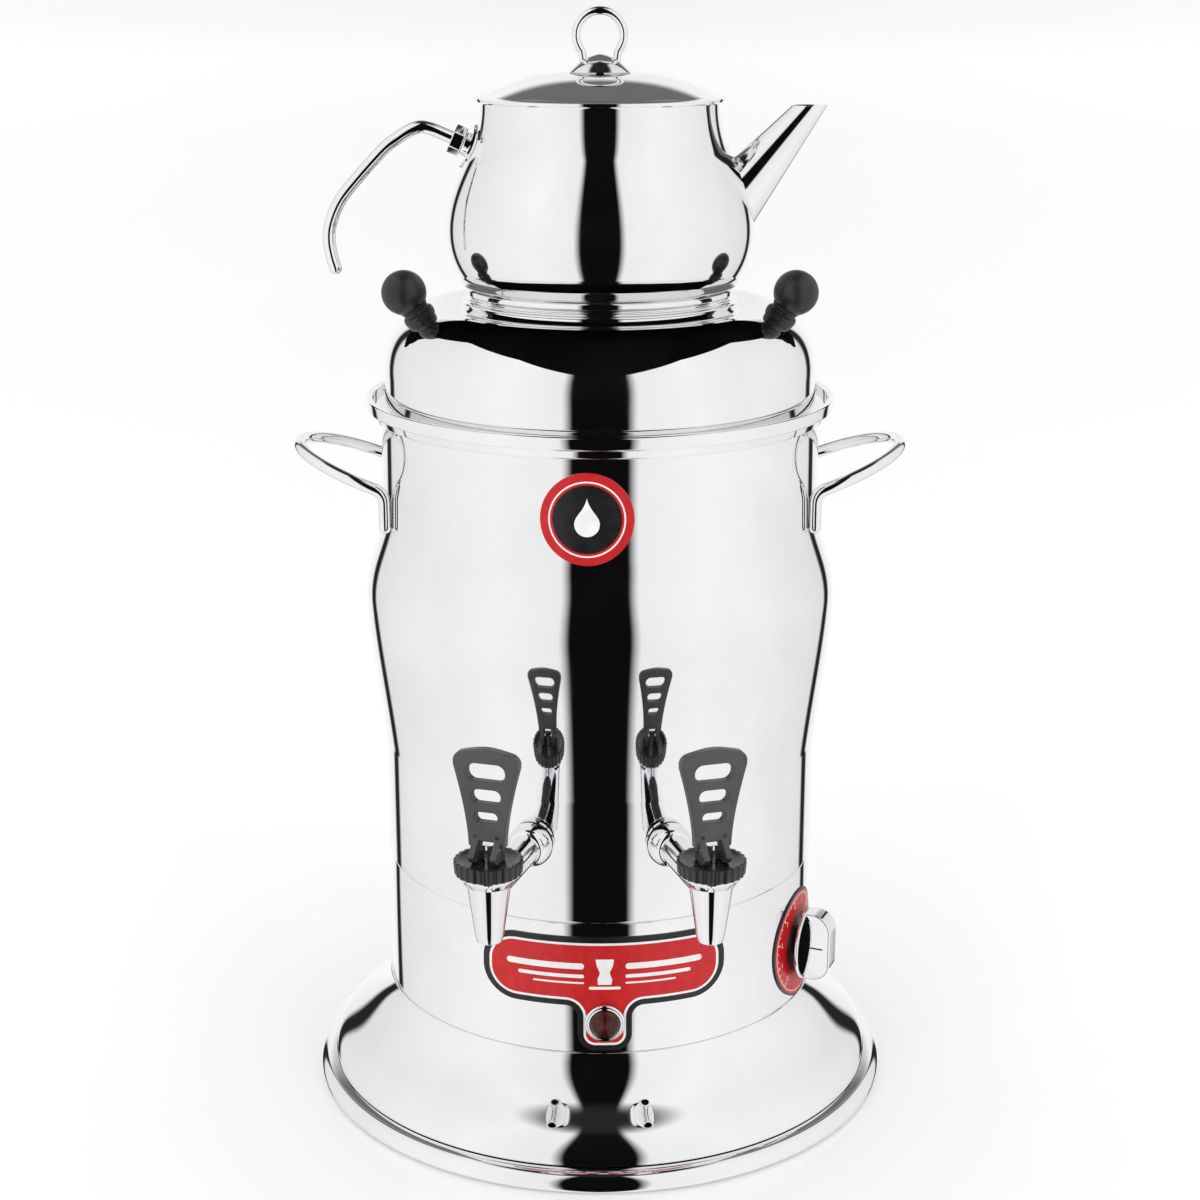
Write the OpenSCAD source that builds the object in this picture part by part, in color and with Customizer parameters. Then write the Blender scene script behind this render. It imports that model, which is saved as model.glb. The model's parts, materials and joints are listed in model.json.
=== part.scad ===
// Electric tea urn with two taps and a teapot standing on its lid.
// Origin: middle of the foot ring on the table. Front is -Y, +Z is up.

/* [Base] */
// Outer radius of the foot rim
foot_r = 164.6; // [159:0.1:177]
// Height of the foot rim
rim_h = 10.5; // [8.5:0.1:14]
// Radius of the roll along the rim's lower edge
roll_r = 2.4; // [1.5:0.1:3]
// Height of the rubber feet below the foot rim
feet_lift = 1; // [0.5:0.1:3]
// Height of the flared skirt above the rim's ledge
skirt_h = 49; // [43:0.5:60]
// Width of the rim's flange under the skirt
ledge_w = 9; // [8:0.5:14]
// Radius of the base drum at its bottom
drum_r = 121.6; // [118:0.1:126]
// How much narrower the drum is at its top
drum_draft = 1.7; // [0:0.1:3]
// Height of the base drum
drum_h = 74; // [70:0.5:84]
// Thickness of the base sheet and of the tank sheet
sheet = 1; // [0.8:0.1:1.5]
// Number of rubber feet, and of the screws between them
foot_count = 4; // [3:1:6]
// Radius of one rubber foot
foot_pad_r = 12; // [8:0.5:16]
// Radius of the screws' shanks
screw_r = 2; // [1.5:0.1:2.5]

/* [Tank] */
// Radius of the tank's straight lower wall
tank_r = 120.8; // [118:0.1:123]
// Height of the straight lower wall
lower_wall_h = 64.5; // [58:0.5:78]
// Radius of the tank's belly
belly_r = 129.7; // [125:0.1:136]
// Rise from the lower wall to the widest line of the belly
belly_rise = 83; // [70:0.5:95]
// Height of the rounding from the belly to the neck
shoulder_h = 46; // [38:0.5:56]
// Radius of the neck
neck_r = 119.6; // [117:0.1:122]
// Height of the straight neck
neck_h = 56; // [50:0.5:70]
// Thickness of the tank's floor
floor_t = 1.2; // [1:0.1:2]
// Height of the floor's turned-up edge
floor_edge_h = 8; // [5:0.5:12]
// Width of the ledge that the lid stands on, inwards from the neck
lid_ledge_w = 9.6; // [6:0.1:14]
// Width of the drip gutter round the lid
gutter_w = 6.4; // [5:0.1:9]
// Height of the gutter's outer lip above its floor
lip_h = 7.6; // [6:0.1:10]

/* [Side handles] */
// Diameter of the side handles' rod
handle_d = 6.5; // [5:0.1:8]
// Half the distance between the legs of one handle
handle_half_w = 44; // [36:0.5:52]
// How far the handle reaches past the neck
handle_reach = 45; // [38:0.5:60]
// Height of the legs' lower ends above the neck's root
handle_foot = 0; // [0:0.5:8]
// Rise of the loop for each millimetre of reach
handle_slope = 0.38; // [0.2:0.01:0.45]
// Distance from the legs' top bend up to the gutter
handle_drop = 32; // [28:0.5:38]

/* [Lid] */
// Distance of the lid's wall inside the neck
lid_inset = 2.8; // [1.5:0.1:6]
// Height of the lid's straight wall
lid_wall_h = 20; // [12:0.5:30]
// Height of the lid's rounded shoulder
lid_round_h = 36; // [28:0.5:44]
// Radius where the shoulder meets the flat top
lid_top_r = 89; // [84:0.5:98]
// Radius of the raised collar that carries the teapot
collar_r = 74.2; // [72:0.1:80]
// Height of the collar above the lid's top
collar_h = 5.2; // [4:0.1:8]
// Radius of the steam opening
steam_r = 63; // [50:0.5:65]
// Radius of the ball knobs
ball_r = 11.8; // [9:0.1:14]
// Radius of the barrel under each ball knob
barrel_r = 8.8; // [8.2:0.1:10]
// Height of the barrel under each ball knob
barrel_h = 4.6; // [3.5:0.1:8]
// Azimuth of the ball knobs from the front
ball_az = 69; // [60:1:90]
// Distance of the ball knobs' seats inside the lid's wall
ball_inset = 16.3; // [12:0.1:20]
// Outward lean of the ball knobs
ball_lean = 33; // [25:1:45]

/* [Teapot] */
// Radius of the teapot's sandwich base
pot_base_r = 72; // [68:0.1:73]
// Height of the sandwich base
pot_base_h = 7.4; // [5:0.1:10]
// Radius of the teapot's belly
pot_belly_r = 82.3; // [79:0.1:88]
// Rise from the teapot's bottom to its widest line
pot_belly_rise = 28.5; // [24:0.5:36]
// Rise from the widest line to the root of the neck
pot_shoulder_h = 42; // [36:0.5:50]
// Radius at the root of the teapot's neck
pot_root_r = 69.3; // [66:0.1:72]
// Radius of the teapot's mouth
pot_mouth_r = 63.7; // [60:0.1:65]
// Height of the teapot's neck
pot_neck_h = 25; // [20:0.5:30]
// Thickness of the teapot's sheet
pot_sheet = 0.8; // [0.6:0.1:1.2]
// Half the opening angle of the conical spout
spout_half = 8.4; // [6:0.1:10]
// Angle of the spout's axis above the horizontal
spout_rise = 50.2; // [45:0.5:55]
// Distance from the teapot's axis to the middle of the spout's mouth
spout_reach = 111.6; // [106:0.1:118]
// Radius of the spout at its mouth
spout_mouth_r = 7.3; // [6:0.1:9]
// Diameter of the teapot handle's rod
pot_handle_d = 7; // [6:0.1:9]
// Radius of the strainer holes behind the spout
strainer_r = 2.2; // [1.5:0.1:2.6]

/* [Teapot lid] */
// How far the lid's flared brim reaches past the teapot's mouth
brim_w = 2.9; // [1.5:0.1:6]
// Height of the lid's crown above the brim
crown_h = 14; // [9:0.5:20]
// Radius of the knob's cap
cap_r = 16.8; // [14:0.1:20]
// Height of the knob's cap
cap_h = 10; // [7:0.5:14]
// Mean radius of the wire ring
ring_r = 12.5; // [11:0.1:15]
// Diameter of the wire ring's rod
ring_d = 4.4; // [3.5:0.1:5]
// Height of the wire ring's centre above the cap
ring_rise = 9.2; // [8:0.1:11]

/* [Taps] */
// Azimuth of each tap from the front
tap_az = 17.2; // [16:0.1:25]
// Height of the taps' inlet above the tank's bottom
tap_rise = 44; // [42:0.5:52]
// Distance from the urn's axis to each tap's valve
valve_reach = 186; // [180:0.5:200]
// Radius of the tap's horizontal tube
tap_tube_r = 7.5; // [7:0.1:8]
// Radius of the tap's bowl at its top
bowl_r = 15.5; // [14.5:0.1:16]
// Radius of the spout's outlet end
outlet_r = 7; // [6.5:0.1:8]
// Height from the outlet to the valve seat
outlet_drop = 26; // [22:0.5:34]
// Radius of the water passage
passage_r = 4.8; // [4.2:0.1:5.2]
// Radius of the ribbed cap on the bowl
bonnet_r = 17.1; // [16.6:0.1:19]
// Height of the ribbed cap
bonnet_h = 7.6; // [6.5:0.1:10]
// Number of ribs round the cap
rib_count = 26; // [16:1:36]
// Radius of the valve stem
stem_r = 3.2; // [2.6:0.1:3.6]
// Height of the lever above its pivot
lever_h = 53.5; // [45:0.5:65]
// Width of the lever at its widest
lever_w = 34.4; // [30:0.1:40]
// Width of the lever at its foot
lever_foot_w = 19; // [17:0.1:22]
// Thickness of the lever
lever_t = 5.4; // [4:0.1:7]
// Radius of the lever's pivot pin
pin_r = 1.5; // [1:0.1:1.8]
// Largest tilt of the lever
lever_tilt = 60; // [40:1:65]
// Lift of the stem at the largest tilt
stem_lift = 4; // [3:0.1:4.5]

/* [Controls] */
// Azimuth of the thermostat dial
dial_az = 66.8; // [55:0.1:75]
// Height of the dial's centre above the drum's bottom
dial_rise = 31; // [31:0.5:38]
// Radius of the dial plate
dial_r = 30.8; // [26:0.1:31]
// Radius of the thermostat knob's disc
knob_r = 20.2; // [18:0.1:23]
// Depth of the thermostat knob with its grip
knob_h = 19; // [17:0.5:23]
// Width of the knob's grip
grip_w = 12.6; // [10:0.1:14]
// Azimuth of the nameplate and the pilot lamp
plate_az = 1.2; // [-3:0.1:3]
// Width of the nameplate
plate_w = 129.2; // [110:0.2:140]
// Height of the nameplate
plate_h = 39; // [30:0.5:42]
// Height of the nameplate's centre above the drum's bottom
plate_rise = 47; // [46:0.5:50]
// Width of the tab below the nameplate
tab_w = 29; // [26:0.5:32]
// Height of the lamp's centre above the drum's bottom
lamp_rise = 18.4; // [17:0.1:20]
// Outer radius of the lamp's bezel
lamp_r = 10.6; // [9.5:0.1:11.5]
// Thickness of the name, dial and badge plates
plate_t = 0.8; // [0.5:0.1:1.2]
// Radius of the round badge on the neck
badge_r = 23.7; // [18:0.1:25]
// Height of the badge's centre above the neck's root
badge_rise = 25.4; // [24:0.1:28]
// Azimuth of the badge
badge_az = -3.1; // [-6:0.1:6]

/* [Inside] */
// Mean radius of the heating element's loop
coil_r = 85; // [70:0.5:92]
// Diameter of the heating element's tube
coil_d = 8; // [6.5:0.1:10]
// Height of the loop above the tank's floor
coil_rise = 21; // [18:0.5:26]
// Azimuth of each end of the loop from the back
coil_end = 15; // [12:1:25]
// Radius of the thermostat's can
can_r = 17; // [14:0.5:18]
// Depth of the thermostat's can
can_depth = 22; // [18:0.5:30]
// Azimuth of the cable gland
gland_az = 180; // [150:1:210]
// Radius of the hole for the cable
cable_r = 4; // [3:0.1:4.5]

/* [Clearances] */
// Radial play of a turning or sliding fit
play = 0.06; // [0.02:0.01:0.1]
// Gap between faces that come close but don't carry
gap = 0.3; // [0.2:0.05:0.4]

/* [Hidden] */
$fn = 96;

// Levels, from the table up
rim_in_r = foot_r - 12;
fill_r = neck_r - lid_ledge_w;
lid_r = neck_r - lid_inset;
ball_seat_r = lid_r - ball_inset;
ledge_top = feet_lift + rim_h;
ledge_in_r = rim_in_r - ledge_w;
drum_z = ledge_top + skirt_h;
drum_top = drum_z + drum_h;
tank_floor_z = drum_top + sheet;
kink_z = drum_top + lower_wall_h;
belly_z = kink_z + belly_rise;
neck_z = belly_z + shoulder_h;
neck_top = neck_z + neck_h;
gutter_z = neck_top + 5;
lid_round_z = gutter_z + lid_wall_h;
lid_top_z = lid_round_z + lid_round_h;
lid_dip = 2.6;
collar_z = lid_top_z - lid_dip + collar_h;
pot_z = collar_z + pot_base_h;
pot_belly_z = pot_z + pot_belly_rise;
pot_root_z = pot_belly_z + pot_shoulder_h;
pot_rim_z = pot_root_z + pot_neck_h;
brim_z = pot_rim_z + pot_sheet;
crown_z = brim_z + crown_h;
tap_z = drum_top + tap_rise;
dial_z = drum_z + dial_rise;

// ---- shapes shared by several sub-parts ----

// Point at t on the cubic curve that leaves a towards b and reaches d from c
function cubic(a, b, c, d, t) =
  pow(1 - t, 3) * a + 3 * pow(1 - t, 2) * t * b + 3 * (1 - t) * t * t * c + pow(t, 3) * d;
function curve(a, b, c, d, n) = [for (i = [0 : n]) cubic(a, b, c, d, i / n)];
// Smooth curve through every point of p, with n steps between neighbours
function through(p, n) = [
  for (i = [0 : len(p) - 2]) for (k = [0 : n - 1])
    let (a = p[i], d = p[i + 1], before = p[max(i - 1, 0)], after = p[min(i + 2, len(p) - 1)])
      cubic(a, a + (d - before) / 6, d - (after - a) / 6, d, k / n),
  p[len(p) - 1]
];
function arc(centre, r, from, to, n) =
  [for (i = [0 : n]) let (a = from + (to - from) * i / n) centre + r * [cos(a), sin(a)]];
function unit(v) = v / norm(v);
// The curve p moved t to its left
function beside(p, t) = [
  for (i = [0 : len(p) - 1])
    let (d = unit(p[min(i + 1, len(p) - 1)] - p[max(i - 1, 0)])) p[i] + t * [-d.y, d.x]
];
function backwards(p) = [for (i = [len(p) - 1 : -1 : 0]) p[i]];

// Sheet metal of thickness t whose outer face is turned from the curve p
module turned_sheet(p, t) rotate_extrude() polygon(concat(p, backwards(beside(p, t))));
// Everything inside the curve p
module turned_core(p, bottom, top)
  rotate_extrude()
    polygon(concat([[0, bottom], [p[0].x, bottom]], p, [[p[len(p) - 1].x, top], [0, top]]));

module at_azimuth(a) rotate([0, 0, a]) children();
// A cylinder that points outwards through the front, from radius r1 to radius r2
module outward(r, r1, r2, z, end_r = undef, sides = 0)
  translate([0, -r1, z]) rotate([90, 0, 0])
    cylinder(h = r2 - r1, r1 = r, r2 = is_undef(end_r) ? r : end_r, $fn = sides > 0 ? sides : $fn);

function headings(p) = [for (i = [0 : len(p) - 1]) unit(p[min(i + 1, len(p) - 1)] - p[max(i - 1, 0)])];
function square_to(n, t) = unit(n - (n * t) * t);
// A side direction carried along the headings without twist
function sides_along(t, first) = [
  for (i = 0, n = square_to(first, t[0]); i < len(t);
       n = i + 1 < len(t) ? square_to(n, t[i + 1]) : n, i = i + 1) n
];
// A round rod along the points p, with a rounded far end where nose is true
module rod(p, r, sides = 12, first = [0, 1, 0], nose = false) {
  steps = nose ? [30, 60, 82] : [];
  tail = headings(p)[len(p) - 1];
  path = concat(p, [for (a = steps) p[len(p) - 1] + tail * r * sin(a)]);
  radius = concat([for (q = p) r], [for (a = steps) r * cos(a)]);
  t = headings(path);
  n = sides_along(t, first);
  count = len(path);
  rings = [
    for (i = [0 : count - 1]) for (k = [0 : sides - 1])
      let (a = 360 * k / sides) path[i] + radius[i] * (cos(a) * n[i] + sin(a) * cross(t[i], n[i]))
  ];
  walls = [
    for (i = [0 : count - 2]) for (k = [0 : sides - 1])
      let (k2 = (k + 1) % sides)
        [i * sides + k, (i + 1) * sides + k, (i + 1) * sides + k2, i * sides + k2]
  ];
  ends = [
    [for (k = [0 : sides - 1]) k],
    [for (k = [sides - 1 : -1 : 0]) (count - 1) * sides + k]
  ];
  polyhedron(points = rings, faces = concat(walls, ends), convexity = 6);
}

// ---- outlines of the turned shells, from the bottom up ----

skirt_foot_r = foot_r - 8.8;
skirt_top_r = drum_r + 1;
rim_line = concat(
  [[rim_in_r, feet_lift]],
  arc([foot_r - roll_r, feet_lift + roll_r], roll_r, -90, 0, 6),
  curve([foot_r, feet_lift + roll_r + 0.4], [foot_r, feet_lift + 0.55 * rim_h],
    [foot_r - 1.8, ledge_top - 2], [foot_r - 4.1, ledge_top - 0.9], 8),
  [[skirt_foot_r + 0.4, ledge_top], [ledge_in_r, ledge_top]]
);
skirt_line = curve(
  [skirt_foot_r, ledge_top + sheet],
  [skirt_foot_r - 1, ledge_top + 0.39 * skirt_h],
  [skirt_top_r + 1.8, ledge_top + 0.45 * skirt_h],
  [skirt_top_r, drum_z], 16);
function drum_at(z) = drum_r - drum_draft * (z - drum_z) / drum_h;

tank_corner = 1.6;
tank_line = concat(
  [[tank_r - 10, drum_top]],
  arc([tank_r - tank_corner, drum_top + tank_corner], tank_corner, -90, 0, 4),
  curve([tank_r, kink_z], [tank_r + 3.6, kink_z + 31], [belly_r, belly_z - 20], [belly_r, belly_z], 12),
  [for (q = curve([belly_r, belly_z], [belly_r, belly_z + 20],
    [neck_r + 0.5, neck_z - 14], [neck_r + 0.2, neck_z], 14)) if (q.y > belly_z) q],
  [[neck_r, neck_z + 14], [neck_r - 0.4, neck_top]]
);
neck_line = [[neck_r + 0.2, neck_z], [neck_r, neck_z + 14], [neck_r - 0.4, neck_top]];

lid_line = concat(
  [[lid_r, gutter_z]],
  curve([lid_r, lid_round_z], [lid_r, lid_round_z + 23], [lid_top_r + 13, lid_top_z - 0.3],
    [lid_top_r, lid_top_z], 16),
  curve([lid_top_r - 1.5, lid_top_z], [lid_top_r - 6, lid_top_z], [collar_r + 6, lid_top_z - lid_dip],
    [collar_r + 1.2, lid_top_z - lid_dip], 5),
  [[collar_r, lid_top_z - lid_dip + 1.2]],
  arc([collar_r - 1.3, collar_z - 1.3], 1.3, 0, 90, 4),
  arc([steam_r + 1.4, collar_z - 1.4], 1.4, 90, 180, 4),
  [[steam_r, collar_z - 4]]
);
lid_outside = [for (q = lid_line) if (q.x > collar_r + 1) q];

pot_line = concat(
  [[0, pot_z], [pot_base_r + 1, pot_z]],
  curve([pot_base_r + 2, pot_z + 0.8], [pot_base_r + 6.6, pot_z + 8], [pot_belly_r, pot_belly_z - 12],
    [pot_belly_r, pot_belly_z], 10),
  [for (q = curve([pot_belly_r, pot_belly_z], [pot_belly_r, pot_belly_z + 16],
    [pot_root_r + 7.7, pot_root_z - 9.5], [pot_root_r, pot_root_z], 12)) if (q.y > pot_belly_z) q],
  [for (q = curve([pot_root_r, pot_root_z], [pot_root_r - 2.3, pot_root_z + 6.5],
    [pot_mouth_r, pot_rim_z - 10], [pot_mouth_r, pot_rim_z - 2], 8)) if (q.y > pot_root_z) q],
  [[pot_mouth_r + 0.6, pot_rim_z - 0.5], [pot_mouth_r + 1.4, pot_rim_z], [pot_mouth_r + 2.6, pot_rim_z]]
);
pot_wall = [for (q = pot_line) if (q.y > pot_belly_z + 5) q];

// ---- base ----

plate_r = rim_in_r - 1.2;
plate_bottom = ledge_top - sheet - floor_t;
screw_ring_r = ledge_in_r + ledge_w / 2;
pad_ring_r = screw_ring_r - foot_pad_r - 9;
module around(count, turn = 0)
  for (i = [0 : count - 1]) rotate([0, 0, 360 * i / count + turn]) children();
module ring_holes(r, at_r, count, turn = 0)
  around(count, turn) translate([at_r, 0, 0]) cylinder(h = ledge_top + sheet + 5, r = r);

module base_rim() color("silver") difference() {
  turned_sheet(rim_line, sheet);
  ring_holes(screw_r, screw_ring_r, foot_count, 45);
}

collar_in_r = drum_r - 2 * sheet - gap;
module base_skirt() color("silver") difference() {
  rotate_extrude() {
    polygon(concat(skirt_line, backwards(beside(skirt_line, sheet))));
    translate([ledge_in_r, ledge_top]) square([skirt_foot_r - ledge_in_r, sheet]);
    translate([collar_in_r, drum_z - sheet]) square([skirt_top_r - 0.6 - collar_in_r, sheet]);
    translate([collar_in_r, drum_z - sheet]) square([sheet, 8]);
  }
  ring_holes(screw_r, screw_ring_r, foot_count, 45);
}

flange_in_r = drum_r - drum_draft - 12;
module base_drum() color("silver") difference() {
  rotate_extrude() {
    polygon([[drum_r - sheet, drum_z], [drum_r, drum_z],
      [drum_r - drum_draft, drum_top], [drum_r - drum_draft - sheet, drum_top]]);
    translate([flange_in_r, drum_top - sheet]) square([11.5, sheet]);
  }
  at_azimuth(dial_az) outward(bush_r + play, drum_r - 20, drum_r + 5, dial_z);
  at_azimuth(plate_az) outward(lamp_shank_r + play, drum_r - 20, drum_r + 5, lamp_z);
  at_azimuth(gland_az) outward(gland_r + play, drum_r - 20, drum_r + 5, gland_z);
}

vent_count = 24;
module base_plate() color("dimgray") difference() {
  translate([0, 0, plate_bottom]) cylinder(h = floor_t, r = plate_r);
  ring_holes(screw_r, screw_ring_r, foot_count, 45);
  ring_holes(pad_stud_r, pad_ring_r, foot_count, 0);
  for (ring = [60, 80]) ring_holes(3, ring, vent_count);
}

pad_stud_r = 3;
module rubber_feet() color("black") around(foot_count) translate([pad_ring_r, 0, 0]) {
  cylinder(h = 3, r1 = foot_pad_r - 2, r2 = foot_pad_r);
  translate([0, 0, 3]) cylinder(h = plate_bottom - 3, r = foot_pad_r);
  cylinder(h = plate_bottom + floor_t + 1.5, r = pad_stud_r);
  translate([0, 0, plate_bottom + floor_t]) cylinder(h = 2, r1 = pad_stud_r + 1, r2 = pad_stud_r);
}

module base_screws() color("gray") around(foot_count, 45) translate([screw_ring_r, 0, 0]) {
  translate([0, 0, plate_bottom - 2.4]) cylinder(h = 2.4, r1 = 1.6 * screw_r, r2 = 1.9 * screw_r);
  translate([0, 0, plate_bottom]) cylinder(h = ledge_top + sheet + 4 - plate_bottom, r = screw_r);
}

// ---- tank ----

tap_shank_r = 6.5;
wall_in_r = tank_r - sheet;
floor_top = tank_floor_z + floor_t;
module each_tap() for (a = [-tap_az, tap_az]) at_azimuth(a) children();

module tank_shell() color("gainsboro") difference() {
  turned_sheet(tank_line, sheet);
  each_tap() outward(tap_shank_r + play, tank_r - 15, tank_r + 8, tap_z);
}

bush_thread_r = 6.5;
module each_coil_end() for (a = [-coil_end, coil_end])
  rotate([0, 0, 90 + a]) translate([coil_r, 0, 0]) children();

module tank_floor() color("gainsboro") difference() {
  rotate_extrude() polygon([[0, tank_floor_z], [wall_in_r - 1, tank_floor_z], [wall_in_r, tank_floor_z + 1],
    [wall_in_r, tank_floor_z + floor_edge_h], [wall_in_r - floor_t, tank_floor_z + floor_edge_h],
    [wall_in_r - floor_t, floor_top], [0, floor_top]]);
  each_coil_end() translate([0, 0, tank_floor_z]) cylinder(h = 9, r = bush_thread_r + play, center = true);
}

gutter_r = lid_r + gutter_w;
module tank_rim() color("silver") rotate_extrude() polygon([
  [fill_r, gutter_z], [fill_r, gutter_z - 1.2], [neck_r - 2.6, gutter_z - 1.2],
  [neck_r - 2.6, neck_top - 8], [neck_r - 1.5, neck_top - 8],
  [neck_r - 1.5, neck_top], [neck_r + 1, neck_top],
  [gutter_r - 0.6, neck_top + 0.8], [gutter_r + 0.4, neck_top + 2.4], [gutter_r + 1.2, gutter_z + 0.5],
  [gutter_r + 3.1, gutter_z + 0.8], [gutter_r + 3.7, gutter_z + 1.8],
  [gutter_r + 3.7, gutter_z + lip_h - 1.6], [gutter_r + 3.1, gutter_z + lip_h - 0.4],
  [gutter_r + 2, gutter_z + lip_h],
  [gutter_r + 0.9, gutter_z + lip_h - 0.6], [gutter_r + 0.2, gutter_z + lip_h - 2.2],
  [gutter_r - 0.4, gutter_z + 0.6], [gutter_r - 1.2, gutter_z]
]);

handle_bend_r = 8;
module side_handle(side) {
  leg_r = neck_r + 0.25 + handle_d / 2;
  leg_x = sqrt(leg_r * leg_r - handle_half_w * handle_half_w);
  lean = atan(handle_slope);
  bend_z = neck_top - handle_drop - handle_bend_r;
  bend = [for (a = [0 : 0.25 : 1]) let (f = a * (90 - lean))
    [leg_x + handle_bend_r * (1 - cos(f)), -handle_half_w, bend_z + handle_bend_r * sin(f)]];
  start = bend[len(bend) - 1];
  reach = neck_r + handle_reach - start.x;
  loop = [for (f = [10 : 10 : 170])
    [start.x + reach * sin(f), -handle_half_w * cos(f), start.z + handle_slope * reach * sin(f)]];
  leg = [leg_x, -handle_half_w, neck_z + handle_foot];
  half = concat([leg], bend);
  other = [for (q = backwards(half)) [q.x, -q.y, q.z]];
  path = [for (q = concat(half, loop, other)) [side * q.x, q.y, q.z]];
  color("silver") rod(path, handle_d / 2);
}
module left_handle() side_handle(-1);
module right_handle() side_handle(1);

// ---- heating and control inside the base ----

coil_z = floor_top + coil_rise;
seal_t = 1;
coil_bend = 12;
module heating_element() color("darkgray") {
  // Half of the tube's route: up a leg, round a bend and along the loop to the front
  turn = coil_bend / coil_r * 180 / PI;
  half = concat(
    [[90 + coil_end, drum_top - 14], [90 + coil_end, coil_z - coil_bend]],
    [for (f = [22.5 : 22.5 : 90])
      [90 + coil_end + turn * (1 - cos(f)), coil_z - coil_bend * (1 - sin(f))]],
    [for (i = [1 : 14]) [90 + coil_end + turn + (180 - coil_end - turn) * i / 14, coil_z]]);
  other = [for (i = [len(half) - 2 : -1 : 0]) [540 - half[i].x, half[i].y]];
  rod([for (q = concat(half, other)) [coil_r * cos(q.x), coil_r * sin(q.x), q.y]], coil_d / 2);
  each_coil_end() {
    translate([0, 0, drum_top - 8]) cylinder(h = floor_top - drum_top + 10, r = bush_thread_r);
    translate([0, 0, floor_top + seal_t]) cylinder(h = 3, r = bush_thread_r + 3);
    translate([0, 0, drum_top - 22]) cylinder(h = 9, r = 1.8);
  }
}
module element_seals() color("firebrick") each_coil_end() translate([0, 0, floor_top]) difference() {
  cylinder(h = seal_t, r = bush_thread_r + 3);
  cylinder(h = 9, r = bush_thread_r + play, center = true);
}
module element_nuts() color("goldenrod") each_coil_end() translate([0, 0, tank_floor_z - 5]) difference() {
  cylinder(h = 5, r = bush_thread_r + 4, $fn = 6);
  cylinder(h = 30, r = bush_thread_r + play, center = true);
}

module dry_boil_cutout() color("ivory") translate([-40, 30, tank_floor_z]) {
  translate([0, 0, -1.2]) cylinder(h = 1.2, r = 14);
  translate([0, 0, -9]) cylinder(h = 8, r = 11);
  for (x = [-6, 6]) translate([x - 0.4, -3, -17]) cube([0.8, 6, 9]);
}

bush_r = 4.5;
bush_nut_r = bush_r + 3.2;
shaft_r = 3;
drum_in_at_dial = drum_at(dial_z) - sheet;
can_front = drum_in_at_dial - 3;
can_back = can_front - can_depth;
plate_front = drum_at(dial_z - bush_nut_r) + plate_t;
module thermostat_body() color("lightgray") at_azimuth(dial_az) difference() {
  union() {
    outward(can_r, can_back, can_front, dial_z);
    outward(bush_r + 2, can_front - 1, drum_in_at_dial - gap, dial_z);
    outward(bush_r, can_front - 1, plate_front + 2.8, dial_z);
    for (x = [-8, 8]) translate([x - 3, -can_back - 1, dial_z - 0.4]) cube([6, 10, 0.8]);
  }
  outward(shaft_r + play, can_back + 8, plate_front + 9, dial_z);
}
module thermostat_nut() color("goldenrod") at_azimuth(dial_az) difference() {
  outward(bush_nut_r, plate_front + play, plate_front + 2.6, dial_z, sides = 6);
  outward(bush_r + play, plate_front - 9, plate_front + 9, dial_z);
}

bulb_r = 3;
bulb_half = 25;
bulb_z = tank_floor_z - bulb_r;
module thermostat_bulb() color("peru") {
  start = [can_back * sin(dial_az), -can_back * cos(dial_az), dial_z + can_r - 5];
  inward = [-sin(dial_az), cos(dial_az), 0];
  end = [bulb_half - 2, start.y, bulb_z];
  route = [start, start + 9 * inward + [0, 0, 1], start + 24 * inward + [0, -4, 8],
    end + [14, 2, -4], end + [6, 0, 0], end];
  rod(through(route, 4), 0.9, 8, [0, 0, 1]);
  translate([-bulb_half, start.y, bulb_z]) rotate([0, 90, 0]) cylinder(h = 2 * bulb_half, r = bulb_r);
}
module bulb_clip() color("silver")
  translate([-5, -can_back * cos(dial_az), bulb_z]) rotate([90, 0, 90]) linear_extrude(10) difference() {
    union() {
      circle(bulb_r + 1);
      translate([-bulb_r - 6, bulb_r - 1]) square([2 * bulb_r + 12, 1]);
    }
    circle(bulb_r + play);
    translate([-20, bulb_r]) square([40, 9]);
  }

block = [44, 22, 18];
module terminal_block() color("white") translate([-block.x / 2, 48, plate_bottom + floor_t]) difference() {
  cube(block);
  for (i = [0 : 2]) translate([block.x * (i + 0.5) / 3, block.y / 2, block.z - 5]) {
    cylinder(h = 9, r = 3);
    translate([0, -9, 0]) cube([6, 9, 5], center = true);
  }
}

gland_r = cable_r + 2;
gland_nut_r = gland_r + 4;
gland_z = drum_z + 18;
drum_at_gland = drum_at(gland_z - gland_nut_r);
module cable_gland() color("black") at_azimuth(gland_az) difference() {
  union() {
    outward(gland_r, drum_at_gland - 12, drum_at_gland + 3, gland_z);
    outward(gland_nut_r, drum_at_gland + play, drum_at_gland + 5, gland_z, sides = 6);
    outward(gland_r + 3, drum_at_gland + 5, drum_at_gland + 14, gland_z, end_r = gland_r + 1);
  }
  outward(cable_r, drum_at_gland - 20, drum_at_gland + 20, gland_z);
}
module gland_nut() color("black") at_azimuth(gland_az) difference() {
  face = sqrt(pow(drum_at(gland_z + gland_nut_r) - sheet, 2) - pow(gland_nut_r, 2)) - play;
  outward(gland_nut_r, face - 5, face, gland_z, sides = 6);
  outward(gland_r + play, face - 9, face + 9, gland_z);
}

// ---- plates and lamp on the outside ----

// A solid turned about the outward line at height z, drawn as radius against distance
module outward_turned(z) translate([0, 0, z]) rotate([90, 0, 0]) rotate_extrude() children();
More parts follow.
